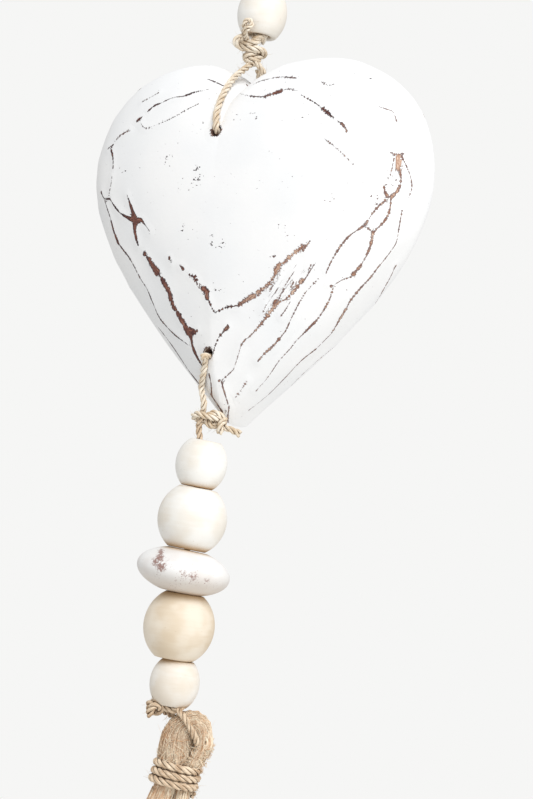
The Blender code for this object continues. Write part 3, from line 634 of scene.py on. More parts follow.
def ridgePoints(body, tree):
    # picture points cast onto the body, then the rows that the camera doesn't see
    points, wear, ragged, along = [], [], [], []
    for route, first, last, rough in ridges.values():
        fine = smoothRoute([(u, v, 0) for u, v in route], 0.8)
        for index, (u, v, _) in enumerate(fine):
            hit = tree.ray_cast(eye * mm, pixelRay(u, v))[0]
            if hit is None:
                continue
            share = index / (len(fine) - 1)
            along.append(along[-1] + np.linalg.norm(np.array(hit) / mm - points[-1]) if points else 0.0)
            points.append(np.array(hit) / mm)
            wear.append(first + (last - first) * share)
            ragged.append(rough)
    seen = np.array(points)
    chance = random.Random(11)
    rows, rowWear = wanderingRidges(body, chance)
    gapTo = kdtree.KDTree(len(seen))
    for index, place in enumerate(seen):
        gapTo.insert(place, index)
    gapTo.balance()
    for place, width in zip(rows, rowWear):
        if gapTo.find(place)[2] < hiddenRidges["clear"]:
            continue
        hit = tree.ray_cast(eye * mm, (Vector(place) * mm - eye * mm).normalized())[0]
        if hit is not None and (hit / mm - Vector(place)).length < hiddenRidges["seenWithin"]:
            continue
        along.append(along[-1] + min(3.0, np.linalg.norm(place - points[-1])))
        points.append(place)
        wear.append(width)
        ragged.append(hiddenRidges["ragged"])
    for drop in (heart["high"] - heart["topHole"], heart["lowHole"]):
        for side in (-1, 1):
            for step in range(40):  # the rubbed rim of each hole
                turn = 2 * math.pi * step / 40
                reach = heart["holeWide"] / 2 + 0.15
                aside, above = reach * math.cos(turn), reach * math.sin(turn)
                place = heartFrame(heart["holeX"] + aside, side * 60, drop + above)
                hit = tree.ray_cast(place * mm, Vector((0, -side, 0)))[0]
                along.append(along[-1] + 0.5)
                points.append(np.array(hit) / mm)
                wear.append(0.22)
                ragged.append(1.2)
    return tuple(np.array(values) for values in (points, wear, ragged, along))


def heartFrame(x, y, z):
    lean = math.radians(heart["tilt"])
    return Vector((x * math.cos(lean) + z * math.sin(lean) + tipX, y,
                   z * math.cos(lean) - x * math.sin(lean) + tipZ))


def insideField(pixels):
    # how far inside the front field's border each picture point lies, in mm; negative outside
    edge = np.array([(p.x, p.y) for p in smoothRoute([(u, v, 0) for u, v in fieldEdge + fieldEdge[:1]], 4)])
    inside = np.zeros(len(pixels), bool)
    nearest = np.full(len(pixels), 1e9)
    for a, b in zip(edge, np.roll(edge, -1, axis=0)):
        crosses = (a[1] > pixels[:, 1]) != (b[1] > pixels[:, 1])
        rise = b[1] - a[1] if abs(b[1] - a[1]) > 1e-9 else 1e-9
        inside ^= crosses & (pixels[:, 0] < (b[0] - a[0]) * (pixels[:, 1] - a[1]) / rise + a[0])
        along = np.clip(((pixels - a) @ (b - a)) / max((b - a) @ (b - a), 1e-9), 0, 1)
        nearest = np.minimum(nearest, np.linalg.norm(pixels - a - along[:, None] * (b - a), axis=1))
    return np.where(inside, nearest, -nearest) * view["pixel"]


def smoothStep(value, low, high):
    t = np.clip((value - low) / (high - low), 0, 1)
    return t * t * (3 - 2 * t)


def carvedHeart():
    body = HeartBody()
    ball, faces = cubeBall(heart["cells"])
    angle = evenAngle(np.arccos(np.clip(-ball[:, 1], -1, 1)))
    turn = np.arctan2(ball[:, 2], ball[:, 0])
    base = body.place(turn, angle)
    tree = BVHTree.FromPolygons([tuple(p * mm) for p in base], faces)
    points, wear, ragged, along = ridgePoints(body, tree)
    near = kdtree.KDTree(len(points))
    for index, place in enumerate(points):
        near.insert(place, index)
    near.balance()
    gap = np.array([near.find(place)[2] for place in base])
    field = insideField(pixelsOf(base * mm))
    raised = smoothStep(field, -8, 9) * (angle < math.radians(78))
    raised = np.maximum(raised, smoothStep(np.degrees(angle), 138, 146))
    sink = heart["cutDeep"] * (1 - np.exp(-(gap / heart["cutWide"]) ** 1.5)) * (1 - raised)
    placed = body.place(turn, angle, sink)
    print("heart carved,", len(base), "points,", len(points), "along ridges")

    mesh = bpy.data.meshes.new("carved_heart")
    mesh.from_pydata([tuple(p) for p in placed * mm], [], faces)
    shape = bmesh.new()
    shape.from_mesh(mesh)
    bmesh.ops.recalc_face_normals(shape, faces=shape.faces)
    shape.to_mesh(mesh)
    shape.free()
    mesh.materials.append(chalkPaint())
    mesh.materials.append(brownWood())
    piece = bpy.data.objects.new("carved_heart", mesh)
    bpy.context.collection.objects.link(piece)
    drillHoles(piece)
    dressed(piece, "heart")
    piece.data.shade_smooth()
    piece.data.set_sharp_from_angle(angle=math.radians(50))
    wornFields(piece.data, near, points, wear, ragged, along, tree)
    return tree


def drillHoles(piece):
    for z in (heart["high"] - heart["topHole"], heart["lowHole"]):
        shape = bmesh.new()
        bmesh.ops.create_cone(shape, cap_ends=True, segments=40, radius1=heart["holeWide"] / 2 * mm,
                              radius2=heart["holeWide"] / 2 * mm, depth=90 * mm)
        mesh = bpy.data.meshes.new("drill")
        shape.to_mesh(mesh)
        shape.free()
        mesh.materials.append(None)
        mesh.materials.append(None)
        for polygon in mesh.polygons:
            polygon.material_index = 1
        drill = bpy.data.objects.new("drill", mesh)
        bpy.context.collection.objects.link(drill)
        drill.location = heartFrame(heart["holeX"], 0, z) * mm
        drill.rotation_euler = (math.pi / 2, 0, 0)
        cut = piece.modifiers.new("hole", "BOOLEAN")
        cut.operation = "DIFFERENCE"
        cut.object = drill
        bpy.context.view_layer.update()
        graph = bpy.context.evaluated_depsgraph_get()
        made = bpy.data.meshes.new_from_object(piece.evaluated_get(graph))
        piece.modifiers.clear()
        piece.data = made
        bpy.data.objects.remove(drill)


def wornFields(mesh, near, points, wear, ragged, along, tree):
    # for the finish: the way to the nearest ridge, its width and raggedness, and the specks
    count = len(mesh.vertices)
    places = np.empty(count * 3)
    mesh.vertices.foreach_get("co", places)
    places = places.reshape(-1, 3) / mm
    found = [near.find(place) for place in places]
    index = np.array([f[1] for f in found])
    offset = points[index] - places
    store(mesh, "ridgeOffset", "FLOAT_VECTOR", "vector", offset.ravel())
    store(mesh, "ridgeNear", "FLOAT", "value", np.linalg.norm(offset, axis=1))
    store(mesh, "ridgeWidth", "FLOAT", "value", wear[index])
    store(mesh, "ridgeRagged", "FLOAT", "value", ragged[index])
    store(mesh, "ridgeAlong", "FLOAT", "value", along[index])
    speckle = np.zeros(count)
    for (u, v), wide, strength in specks:
        hit = tree.ray_cast(eye * mm, pixelRay(u, v))[0]
        away = np.linalg.norm(places - np.array(hit) / mm, axis=1)
        speckle = np.maximum(speckle, strength * np.exp(-(away / wide) ** 2))
    store(mesh, "specks", "FLOAT", "value", speckle)
    ends = [np.array(tree.ray_cast(eye * mm, pixelRay(*brushed[k]))[0]) / mm for k in ("start", "end")]
    run = ends[1] - ends[0]
    share = np.clip((places - ends[0]) @ run / (run @ run), 0, 1)
    away = np.linalg.norm(places - ends[0] - share[:, None] * run, axis=1)
    store(mesh, "brushed", "FLOAT", "value", np.exp(-(away / brushed["wide"]) ** 2))
    # coordinates in mm along and across the brush's way
    leadX, leadZ = brushed["lead"][0], -brushed["lead"][1]
    lead = np.array(rightward * leadX) + np.array((0, 0, leadZ))
    side = np.array(rightward * leadZ) - np.array((0, 0, leadX))
    store(mesh, "brushRun", "FLOAT_VECTOR", "vector", np.stack([
        places @ lead, places @ side, np.zeros(count)], axis=1).ravel())


def store(mesh, name, kind, field, values):
    layer = mesh.attributes.new(name, kind, "POINT")
    layer.data.foreach_set(field, np.asarray(values, dtype=np.float32))


# colours of the heart's finish, and where its wood turns from brown to tan, partly painted light on the
# better-lit right: mm to the right of the tip plus half the mm below it
finish = dict(
    paint=("#F6F6F6", "#F1F2F3"), smear="#EADFD8", brown=("#5A3D3B", "#A06C58"),
    tan=("#9C7059", "#E8CDB8"), rim=("#3A2B2F", "#6E5552"), tanTowardsLight=(-8, 6),
)


def woodColour(tree, place, grain, deep):
    # stained brown wood: nearly black at the torn edge of the paint, redder inside, tan on the right flank,
    # partly its own colour and partly painted light where that flank is lit more strongly
    aside = addNode(tree, "VectorMath", {"operation": "DOT_PRODUCT"}, {
        0: place, 1: (1.0, 0.0, -0.5)}, "Value")
    # painted light: the wood and its rim grow paler towards the right flank, where the light falls more
    # strongly
    start, end = ((at - tipZ / 2) * mm for at in finish["tanTowardsLight"])
    paler = addNode(tree, "MapRange", eased, {"Value": aside, "From Min": start, "From Max": end})
    shade = addNode(tree, "MapRange", eased, {"Value": grain, "From Min": 0.4, "From Max": 0.66})
    brown, tan, rim = (
        addNode(tree, "Mix", blend, {0: share, 6: hexLinear(first), 7: hexLinear(second)}, 2)
        for share, (first, second) in (
            (shade, finish["brown"]), (shade, finish["tan"]), (paler, finish["rim"])))
    inside = addNode(tree, "Mix", blend, {0: paler, 6: brown, 7: tan}, 2)
    return addNode(tree, "Mix", blend, {0: deep, 6: rim, 7: inside}, 2)


def chalkPaint():
    # chalk paint brushed on carved wood and rubbed back: dead matt white with bare brown ridges
    material, tree, shader = newMaterial("chalk_paint_rubbed_on_wood", 0.85)
    shader.inputs["Specular IOR Level"].default_value = 0.2
    place = addNode(tree, "TexCoord", {}, {}, "Object")
    near, width, ragged, along, speck, brush = (
        addNode(tree, "Attribute", {"attribute_name": name}, {}, "Fac")
        for name in ("ridgeNear", "ridgeWidth", "ridgeRagged", "ridgeAlong", "specks", "brushed"))
    offset, run = (addNode(tree, "Attribute", {"attribute_name": name}, {}, "Vector")
                   for name in ("ridgeOffset", "brushRun"))
    away = addNode(tree, "VectorMath", {"operation": "LENGTH"}, {0: offset}, "Value")
    least = addNode(tree, "Math", minus, {0: near, 1: 0.6})
    distance = addNode(tree, "Math", larger, {0: away, 1: least})

    # the bare band swells and thins every 6 mm or so
    breaks = addNode(tree, "TexNoise", {}, {"Vector": place, "Scale": 1 / (6 * mm), "Detail": 2.0}, "Fac")
    swell = addNode(tree, "MapRange", eased, {
        "Value": breaks, "From Min": 0.33, "From Max": 0.6, "To Min": 0.45, "To Max": 1.15})
    wide = addNode(tree, "Math", times, {0: width, 1: swell})
    # torn paint: teeth 0.9 mm apart standing across the ridge, with 0.7 mm grit on them
    stretched = addNode(tree, "Math", times, {0: distance, 1: 0.35})
    across = addNode(tree, "CombineXYZ", {}, {"X": along, "Y": stretched})
    teeth = addNode(tree, "TexNoise", {}, {
        "Vector": across, "Scale": 1 / 0.9, "Detail": 3.0, "Roughness": 0.65}, "Fac")
    grit = addNode(tree, "TexNoise", {}, {
        "Vector": place, "Scale": 1 / (0.7 * mm), "Detail": 3.0, "Roughness": 0.7}, "Fac")
    toothed = addNode(tree, "Math", timesPlus, {0: grit, 1: 0.6, 2: teeth})
    centred = addNode(tree, "Math", minus, {0: toothed, 1: 0.8})
    rough = addNode(tree, "Math", times, {0: ragged, 1: 2.3})
    jag = addNode(tree, "Math", times, {0: centred, 1: rough})
    fade = addNode(tree, "MapRange", eased, {"Value": distance, "From Min": 3.2, "From Max": 0.8})
    jagged = addNode(tree, "Math", times, {0: jag, 1: fade})
    inward = addNode(tree, "Math", minus, {0: wide, 1: distance})
    reach = addNode(tree, "Math", plus, {0: inward, 1: jagged})
    worn = addNode(tree, "MapRange", eased, {"Value": reach, "From Min": -0.06, "From Max": 0.1})

    # flecks 1 mm across, a little wider than high, only where specks are called for
    squat = addNode(tree, "Mapping", {}, {"Vector": place, "Scale": (0.75, 0.75, 1.3)})
    fleck = addNode(tree, "TexNoise", {}, {
        "Vector": squat, "Scale": 1 / (1.2 * mm), "Detail": 2.0, "Roughness": 0.6}, "Fac")
    lifted = addNode(tree, "Math", timesPlus, {0: speck, 1: 0.13, 2: fleck})
    flecks = addNode(tree, "MapRange", eased, {"Value": lifted, "From Min": 0.735, "From Max": 0.775})
    # dry brush streaks 0.6 mm wide and 8 mm long
    drawn = addNode(tree, "Mapping", {}, {"Vector": run, "Scale": (1 / 8.0, 1 / 0.6, 1.0)})
    hair = addNode(tree, "TexNoise", {}, {
        "Vector": drawn, "Scale": 1.0, "Detail": 3.0, "Roughness": 0.65}, "Fac")
    raised = addNode(tree, "Math", timesPlus, {0: brush, 1: 0.155, 2: hair})
    hairs = addNode(tree, "MapRange", eased, {"Value": raised, "From Min": 0.74, "From Max": 0.79})
    marks = addNode(tree, "Math", larger, {0: flecks, 1: hairs})
    bare = addNode(tree, "Math", larger, {0: worn, 1: marks})

    # clouds of slightly greyer white, 3 cm across
    cloud = addNode(tree, "TexNoise", {}, {"Vector": place, "Scale": 1 / (30 * mm), "Detail": 2.0}, "Fac")
    greyer = addNode(tree, "MapRange", eased, {"Value": cloud, "From Min": 0.35, "From Max": 0.7})
    white, greyWhite = (hexLinear(code) for code in finish["paint"])
    paint = addNode(tree, "Mix", blend, {0: greyer, 6: white, 7: greyWhite}, 2)
    # wood grain along the gouge: streaks 0.6 mm wide and 3 mm long,
    # with dark stain and smears of paint in places
    lengthways = addNode(tree, "CombineXYZ", {}, {"X": along, "Y": distance})
    streaks = addNode(tree, "Mapping", {}, {"Vector": lengthways, "Scale": (1 / 3.0, 1 / 0.6, 1.0)})
    grain = addNode(tree, "TexNoise", {}, {
        "Vector": streaks, "Scale": 1.0, "Detail": 4.0, "Roughness": 0.7}, "Fac")
    stain = addNode(tree, "Math", timesPlus, {0: grit, 1: 1.6, 2: reach})
    deep = addNode(tree, "MapRange", eased, {"Value": stain, "From Min": 0.95, "From Max": 1.5})
    wood = woodColour(tree, place, grain, deep)
    left = addNode(tree, "MapRange", eased, {
        "Value": grain, "From Min": 0.62, "From Max": 0.7, "To Max": 0.7})
    smeared = addNode(tree, "Mix", blend, {0: left, 6: wood, 7: hexLinear(finish["smear"])}, 2)
    colour = addNode(tree, "Mix", blend, {0: bare, 6: paint, 7: smeared}, 2)
    tree.links.new(colour, shader.inputs["Base Color"])

    # gouge cuts fall away from each ridge over 3 mm; the paint stands 0.12 mm proud of the wood
    fall = addNode(tree, "MapRange", {}, {
        "Value": distance, "From Max": 3.0, "To Min": 0.18 * mm, "To Max": 0.0})
    brushMarks = addNode(tree, "TexNoise", {}, {"Vector": place, "Scale": 1 / (2 * mm), "Detail": 4.0}, "Fac")
    marked = addNode(tree, "Math", timesPlus, {0: brushMarks, 1: 0.05 * mm, 2: fall})
    height = addNode(tree, "Math", timesPlus, {0: bare, 1: -0.12 * mm, 2: marked})
    bump = addNode(tree, "Bump", {}, {"Strength": 0.8, "Distance": 1.0, "Height": height})
    tree.links.new(bump, shader.inputs["Normal"])
    return material


def brownWood():
    # bare drilled wood inside the holes, with a little paint run in
    material, tree, shader = newMaterial("bare_brown_wood", 0.8)
    place = addNode(tree, "TexCoord", {}, {}, "Object")
    # grain 1 mm apart
    grain = addNode(tree, "TexNoise", {}, {"Vector": place, "Scale": 1 / (1 * mm), "Detail": 4.0}, "Fac")
    wood = woodColour(tree, place, grain, 0.8)
    colour = addNode(tree, "Mix", blend, {0: 0.35, 6: wood, 7: hexLinear("#CDB6A6")}, 2)
    tree.links.new(colour, shader.inputs["Base Color"])
    return material


heartTree = carvedHeart()
print("heart finished")


# Slings and knots, following the photograph: picture points and how far ahead of the middle, in mm

def pixelPlace(u, v, near, ahead):
    ray = pixelRay(u, v)
    facing = Vector(cameraPose[:3, 2])
    reach = (near + facing * ahead - eye).dot(facing) / ray.dot(facing)
    return eye + ray * reach


def runOf(points, near):
    return [pixelPlace(u, v, near, ahead) for u, v, ahead in points]


def onHeart(u, v, lift):
    place, normal = heartTree.ray_cast(eye * mm, pixelRay(u, v))[:2]
    return place / mm + normal * lift


def behindHeart(z, lift):
    place, normal = heartTree.ray_cast(heartFrame(heart["holeX"], 60, z) * mm, Vector((0, -1, 0)))[:2]
    return place / mm + normal * lift


def throughHole(z):
    return [heartFrame(heart["holeX"], y, z) for y in (-25.5, -12, 0, 12, 24.5)]


knots = dict(
    upperThick=3.2, lowerThick=2.8, endThick=2.7, curlThick=2.2,
    upperMiddle=Vector((0, 0, -hang["height"] - beads["top"][1] - 8)),
    lowerMiddle=chainPlace(0, 1.0, tipZ - 1.0),
    curl=[(249, 43, 2.4), (246, 37, 5.2), (245, 31.5, 8.8), (244.4, 26, 11.2), (245.2, 22, 12.0),
          (248.2, 19.8, 12.2), (251, 21.6, 12.4), (251.2, 25.4, 12.6), (248.4, 27.2, 12.6),
          (246, 29.6, 12.4)],
    core=[(262, 33, -0.5), (256, 40, 0.0), (251, 50, -0.6), (252, 58, -0.4), (252, 64, 0.6)],
    topTurn=[(255, 34, -1.5), (260, 36.5, 1.6), (257, 41, 3.4), (250, 42.5, 4.2), (243.5, 43, 3.0),
             (240.5, 40, 0.6), (243, 36.5, -1.6)],
    hump=[(252, 45, 1.0), (255.5, 40, 3.0), (260, 36.5, 3.4), (262.5, 38, 2.0), (262, 42, -0.5)],
    wrap=[(243, 37, -0.6), (237.4, 38.6, 0.8), (236.4, 43, 2.0), (241, 47, 3.4), (248, 48.5, 4.2),
          (256, 49, 4.0), (262, 51, 2.6), (263.5, 54.5, 0.4), (258, 56, -2.6), (250, 55, -3.2),
          (246, 56, -0.4), (247, 59.5, 2.4), (253, 60, 3.8), (258, 59.5, 2.6), (260, 57, 0.6)],
    tail=[(250, 60, 0.8), (255, 62.5, 3.6), (259, 66, 4.0), (262, 70, 3.6), (264.4, 74, 3.4)],
    lowWrap=[(256, 52, 3.0), (250, 53.5, 3.6), (246.8, 57, 3.0), (248, 61.5, 1.6), (254, 64, 0.0)],
    lowerTurn=[(213, 424, -2.6), (204, 421, -3.0), (196, 418.5, -1.6), (194, 415.5, 1.0),
               (199, 414, 3.0), (206, 416, 3.8), (213, 417.5, 3.6), (220, 419, 3.0), (224, 422, 1.4),
               (221, 426, -1.0), (213, 425, -1.8)],
    lowerBack=[(205.5, 419.5, 1.0), (208.5, 424, 2.2), (213, 426.5, 2.4), (217, 424, 1.6),
               (219, 419.5, 0.6)],
    lowerHump=[(205, 418, 1.6), (210.5, 413.8, 3.0), (216.5, 413.2, 3.2), (222, 417, 2.8),
               (224.4, 421.5, 1.6)],
    lowerStub=[(225, 419, 2.2), (221.4, 423.5, 4.2), (220, 428, 4.4), (220.4, 433, 3.4)],
    lowerTail=[(213, 419, 0.4), (219, 423, 1.4), (225, 427.5, 2.4), (232, 430, 2.8), (240, 434, 2.4)],
)
# the slings: picture points before the hole, then mm over or under the hole and off the heart's back
slings = dict(
    fromKnot=[(254, 58, 0.6), (251, 63.5, 2.4), (244, 69.5, 6.0)],
    overCleft=[(232, 82, 0.9), (225.6, 92, 0.2), (220.6, 103, 0), (217.6, 114, 0), (217.4, 124, 0.1)],
    upTheBack=[(4, 0.4), (9, 0), (14, 0.3), (18, 1.2)],
    backToKnot=[(-0.6, 7.0, -12), (-0.4, 2.4, -6)],
    lowFromKnot=[(201.5, 421, 0.4), (203, 411, 1.2), (204, 402, 1.6)],
    upTheFront=[(204.8, 386, 0.4), (205.6, 372, 0), (206.6, 362, -0.6)],
    downTheBack=[(4, 0.4), (9, 0), (14, 0.3)],
    underTip=[(228, 410, -20), (221, 413, -16), (216, 417.5, -9), (213.5, 421.5, -4)],
    sag=-1.6,
)


def slingsAndKnots():
    upper, lower = knots["upperThick"], knots["lowerThick"]
    middle = knots["upperMiddle"]
    strands = Strands()
    for number, name in enumerate(("core", "topTurn", "hump", "wrap", "lowWrap", "curl", "tail")):
        thick = {"curl": knots["curlThick"], "tail": knots["endThick"]}.get(name, upper)
        layRope(strands, runOf(knots[name], middle), thick, random.Random(20 + number), loose=1.2,
                frayEnd=name == "curl")
    strands.piece("upper_rope_knot", paleRope, "upper_knot", "rope")

    lift = rope["upper"] / 2 - 0.1
    topHole = heart["high"] - heart["topHole"]
    route = runOf(slings["fromKnot"], middle)
    route += [onHeart(u, v, lift + more) for u, v, more in slings["overCleft"]]
    route += throughHole(topHole)
    route += [behindHeart(topHole + rise, lift + more) for rise, more in slings["upTheBack"]]
    route += [Vector((x, y, middle.z + z)) for x, y, z in slings["backToKnot"]]
    strands = Strands()
    layRope(strands, route, rope["upper"], random.Random(31), loose=1.3)
    strands.piece("upper_rope_sling", paleRope, "upper_sling", "rope")

    middle = knots["lowerMiddle"]
    lift = lower / 2 - 0.1
    lowHole = heart["lowHole"]
    route = runOf(slings["lowFromKnot"], middle)
    route += [onHeart(u, v, lift + more) for u, v, more in slings["upTheFront"]]
    route += [place + Vector((0, 0, slings["sag"])) for place in throughHole(lowHole)]
    route += [behindHeart(lowHole - drop, lift + more) for drop, more in slings["downTheBack"]]
    route += runOf(slings["underTip"], middle)
    strands = Strands()
    layRope(strands, route, lower, random.Random(32), loose=1.2)
    strands.piece("lower_rope_sling", paleRope, "lower_sling", "rope")

    strands = Strands()
    for number, name in enumerate(("lowerTurn", "lowerBack", "lowerHump", "lowerStub", "lowerTail")):
        layRope(strands, runOf(knots[name], middle), lower, random.Random(40 + number), loose=1.2,
                frayEnd=name in ("lowerStub", "lowerTail"))
    strands.piece("lower_rope_knot", paleRope, "lower_knot", "rope")


slingsAndKnots()
print("slings and knots laid")


# Turned beads and the disc, threaded one under another

beadLook = dict(sides=96, broader=0.9, rings=40, uneven=0.12, discUneven=0.45, rimRound=0.8)
beadTilt = dict(top=2.0, one=5.0, two=5.0, disc=6.0, three=4.0, four=4.0)  # degrees down to the right


def turnedBead(name, node, middle, size, bore, wood, seed, uneven, tilt):
    radius, height, flat, _ = size
    flat += beadLook["broader"]
    half = height / 2
    length = half / math.sqrt(1 - (flat / radius) ** 2)
    widest = math.asin(half / length)
    # the bore's rounded rim, from inside the bore to the bead's flat end
    rim = [(bore / 2, half - beadLook["rimRound"] * 1.6), (bore / 2 + 0.15, half - 0.5),
           (bore / 2 + 0.6, half - 0.06)]
    profile = rim[:]
    for ring in range(beadLook["rings"] + 1):
        angle = widest * (1 - 2 * ring / beadLook["rings"])
        profile.append((radius * math.cos(angle), length * math.sin(angle)))
    profile += [(r, -z) for r, z in reversed(rim)]
    chance = random.Random(seed)
    waves = [(
        chance.choice((1, 2, 2, 3, 4)), chance.uniform(0, 6.28),
        chance.uniform(0.5, 2.4), chance.uniform(0, 6.28)) for _ in range(6)]
    lean = Matrix.Rotation(math.radians(tilt), 3, -forward)
    points, faces, rings, sides = [], [], len(profile), beadLook["sides"]
    for side in range(sides):
        angle = 2 * math.pi * side / sides
        for r, z in profile:
            wobble = sum(math.sin(n * angle + p) * math.sin(z / half * k + q) for n, p, k, q in waves) / 6
            r = r - (uneven * (0.5 + wobble) if r > bore / 2 + 1 else 0)
            points.append(lean @ Vector((r * math.cos(angle), r * math.sin(angle), z)) + Vector(middle))
    for side in range(sides):
        a, b = side * rings, (side + 1) % sides * rings
        for ring in range(rings):
            n = (ring + 1) % rings
            faces.append((a + ring, a + n, b + n, b + ring))
    piece = meshPiece(name, [p * mm for p in points], faces, wood, node)
    piece.data.set_sharp_from_angle(angle=math.radians(55))
    return piece


def washedWood(name, wash, wood, shown, seed):
    # turned pale wood under a thin matt whitewash; a little of the grain shows through
    material, tree, shader = newMaterial(name, 0.6)
    shader.inputs["Specular IOR Level"].default_value = 0.3
    place = addNode(tree, "TexCoord", {}, {}, "Object")
    # grain lines 1.5 mm apart and some 9 mm long, clouds 14 mm across
    moved = addNode(tree, "Mapping", {}, {
        "Vector": place, "Location": (seed * 0.37, seed * 0.11, seed * 0.23),
        "Rotation": (0.25, 0.12, 0.0), "Scale": (1 / 6.0, 1 / 6.0, 1.0)})
    grain = addNode(tree, "TexNoise", {}, {
        "Vector": moved, "Scale": 1 / (1.5 * mm), "Detail": 4.0, "Roughness": 0.55}, "Fac")
    cloud = addNode(tree, "TexNoise", {}, {"Vector": place, "Scale": 1 / (14 * mm), "Detail": 2.0}, "Fac")
    both = addNode(tree, "Math", timesPlus, {0: grain, 1: 0.22, 2: cloud})
    through = addNode(tree, "MapRange", eased, {
        "Value": both, "From Min": 0.45, "From Max": 0.8, "To Max": shown})
    washed = addNode(tree, "Mix", blend, {0: through, 6: hexLinear(wash), 7: hexLinear(wood)}, 2)
    # pin-sized pits 0.8 mm across that the wash has not filled
    pits = addNode(tree, "TexNoise", {}, {"Vector": place, "Scale": 1 / (0.8 * mm), "Detail": 2.0}, "Fac")
    pitted = addNode(tree, "MapRange", eased, {
        "Value": pits, "From Min": 0.7, "From Max": 0.78, "To Max": 0.5})
    speckled = addNode(tree, "Mix", blend, {0: pitted, 6: washed, 7: hexLinear("#B9A68C")}, 2)
    # painted shade: where two beads or a rope touch, ambient occlusion over 5 mm darkens the bead to beige
    openness = addNode(tree, "AmbientOcclusion", {"samples": 8}, {"Distance": 5 * mm}, "AO")
    clear = addNode(tree, "MapRange", eased, {"Value": openness, "From Min": 0.2, "From Max": 0.95})
    colour = addNode(tree, "Mix", blend, {0: clear, 6: hexLinear("#BFA27C"), 7: speckled}, 2)
    tree.links.new(colour, shader.inputs["Base Color"])
    bump = addNode(tree, "Bump", {}, {"Strength": 0.2, "Distance": 0.06 * mm, "Height": grain})
    tree.links.new(bump, shader.inputs["Normal"])
    return material, tree, shader, place


def bareBeadWood():
    # schima bead, sanded and unfinished: soft cream, straw-coloured where the light falls away
    return washedWood("sanded_bare_bead_wood", "#EBE0CF", "#DAC8AE", 0.9, 5.0)[0]


def wornDiscPaint():
    # white paint worn thin on a driftwood pebble: a pinkish-brown patch on its left shoulder, and painted
    # shade, beige, towards its underside
    material, tree, shader, place = washedWood("worn_white_paint_on_pebble", "#F0F0EF", "#E3DEDA", 0.8, 9.0)
    base = shader.inputs["Base Color"].links[0].from_socket
    patch = addNode(tree, "Attribute", {"attribute_name": "patch"}, {}, "Fac")
    undersideShade = addNode(tree, "Attribute", {"attribute_name": "undersideShade"}, {}, "Fac")
    # worn flecks 1 mm across in clouds of 6 mm
    grit = addNode(tree, "TexNoise", {}, {
        "Vector": place, "Scale": 1 / (1.0 * mm), "Detail": 5.0, "Roughness": 0.8}, "Fac")
    broad = addNode(tree, "TexNoise", {}, {"Vector": place, "Scale": 1 / (6 * mm), "Detail": 2.0}, "Fac")
    called = addNode(tree, "Math", timesPlus, {0: patch, 1: 0.36, 2: grit})
    rubbed = addNode(tree, "Math", timesPlus, {0: broad, 1: 0.25, 2: called})
    # painted shade: the colour turns beige-grey towards the disc's underside
    low = addNode(tree, "Math", times, {0: undersideShade, 1: 0.55})
    toned = addNode(tree, "Mix", blend, {0: low, 6: base, 7: hexLinear("#CDBFB0")}, 2)
    stain = addNode(tree, "MapRange", eased, {
        "Value": rubbed, "From Min": 0.76, "From Max": 0.92, "To Max": 0.9})
    stained = addNode(tree, "Mix", blend, {0: stain, 6: toned, 7: hexLinear("#8F6A60")}, 2)
    tree.links.new(stained, shader.inputs["Base Color"])
    return material


def threadedBeads():
    wash = washedWood("thin_whitewash_on_bead", "#F1EFEA", "#E6DED1", 0.8, 1.0)[0]
    washWarm = washedWood("thin_warm_whitewash_on_bead", "#EFEBE4", "#E3D8C8", 0.9, 3.0)[0]
    bare, worn = bareBeadWood(), wornDiscPaint()
    bore = rope["thick"] + 1.8
    top = (0, 0, -hang["height"] - beads["top"][1] / 2)
    turnedBead("top_wooden_bead", "top_bead", top, beads["top"],
               2 * rope["thick"] + rope["gap"] + 1.8, wash, 1, beadLook["uneven"], beadTilt["top"])
    level, middles = tipZ - chain["drop"], []
    for key, node, slot, wood, seed in (
        ("one", "bead_1", "washed_wood", wash, 2), ("two", "bead_2", "washed_wood", wash, 3),
        ("disc", "disc", "worn_white_wood", worn, 4), ("three", "bead_3", "bare_wood", bare, 5),
        ("four", "bead_4", "washed_wood", washWarm, 6),
    ):
        size = beads[key]
        middle = chainPlace(size[3], 0, level - size[1] / 2)
        uneven = beadLook["discUneven"] if key == "disc" else beadLook["uneven"]
        piece = turnedBead(
            f"wooden_{node}", node, middle, size, bore, wood, seed, uneven, beadTilt[key])
        if key == "disc":
            discWear(piece, middle)
        middles.append(middle)
        level -= size[1] + chain["space"]
    return middles, level


# where the disc is worn: picture point, spread in mm and how much
discSpots = [
    (155, 562, 1.9, 0.85), (160, 558, 1.9, 1.0), (162, 567, 2.2, 1.0), (160, 551, 1.3, 0.9),
    (169, 560, 1.6, 0.4), (171, 567, 2.2, 0.4), (182, 573, 3.0, 0.45), (194, 577, 3.4, 0.5),
    (206, 582, 3.4, 0.4), (216, 586, 3.0, 0.3), (178, 582, 3.6, 0.35), (158, 578, 3.0, 0.3),
]


def discWear(piece, middle):
    # a worn patch on the left shoulder, thinning out along a band towards the lower right
    half = beads["disc"][0] * 0.8
    spots = [(pixelPlace(u, v, middle, half), wide, strength) for u, v, wide, strength in discSpots]
    patch, undersideShade = [], []
    for vertex in piece.data.vertices:
        place = vertex.co / mm
        seen = place - middle
        flat = Vector((seen.dot(rightward), seen.z))
        front = seen.dot(forward) > 0
        worn = 0.0
        for spot, wide, strength in spots:
            off = spot - middle
            gap = (flat - Vector((off.dot(rightward), off.z))).length
            worn = max(worn, strength * math.exp(-(gap / wide) ** 2) * front)
        patch.append(worn)
        # painted shade, growing from 1 mm above the disc's middle to 5 mm below it
        undersideShade.append(max(0.0, min(1.0, (1.0 - seen.z) / 6.0)))
    store(piece.data, "patch", "FLOAT", "value", patch)
    store(piece.data, "undersideShade", "FLOAT", "value", undersideShade)


beadMiddles, beadEnd = threadedBeads()
print("beads threaded")


# Tassel: a hank of jute folded over the rope, bound under the fold

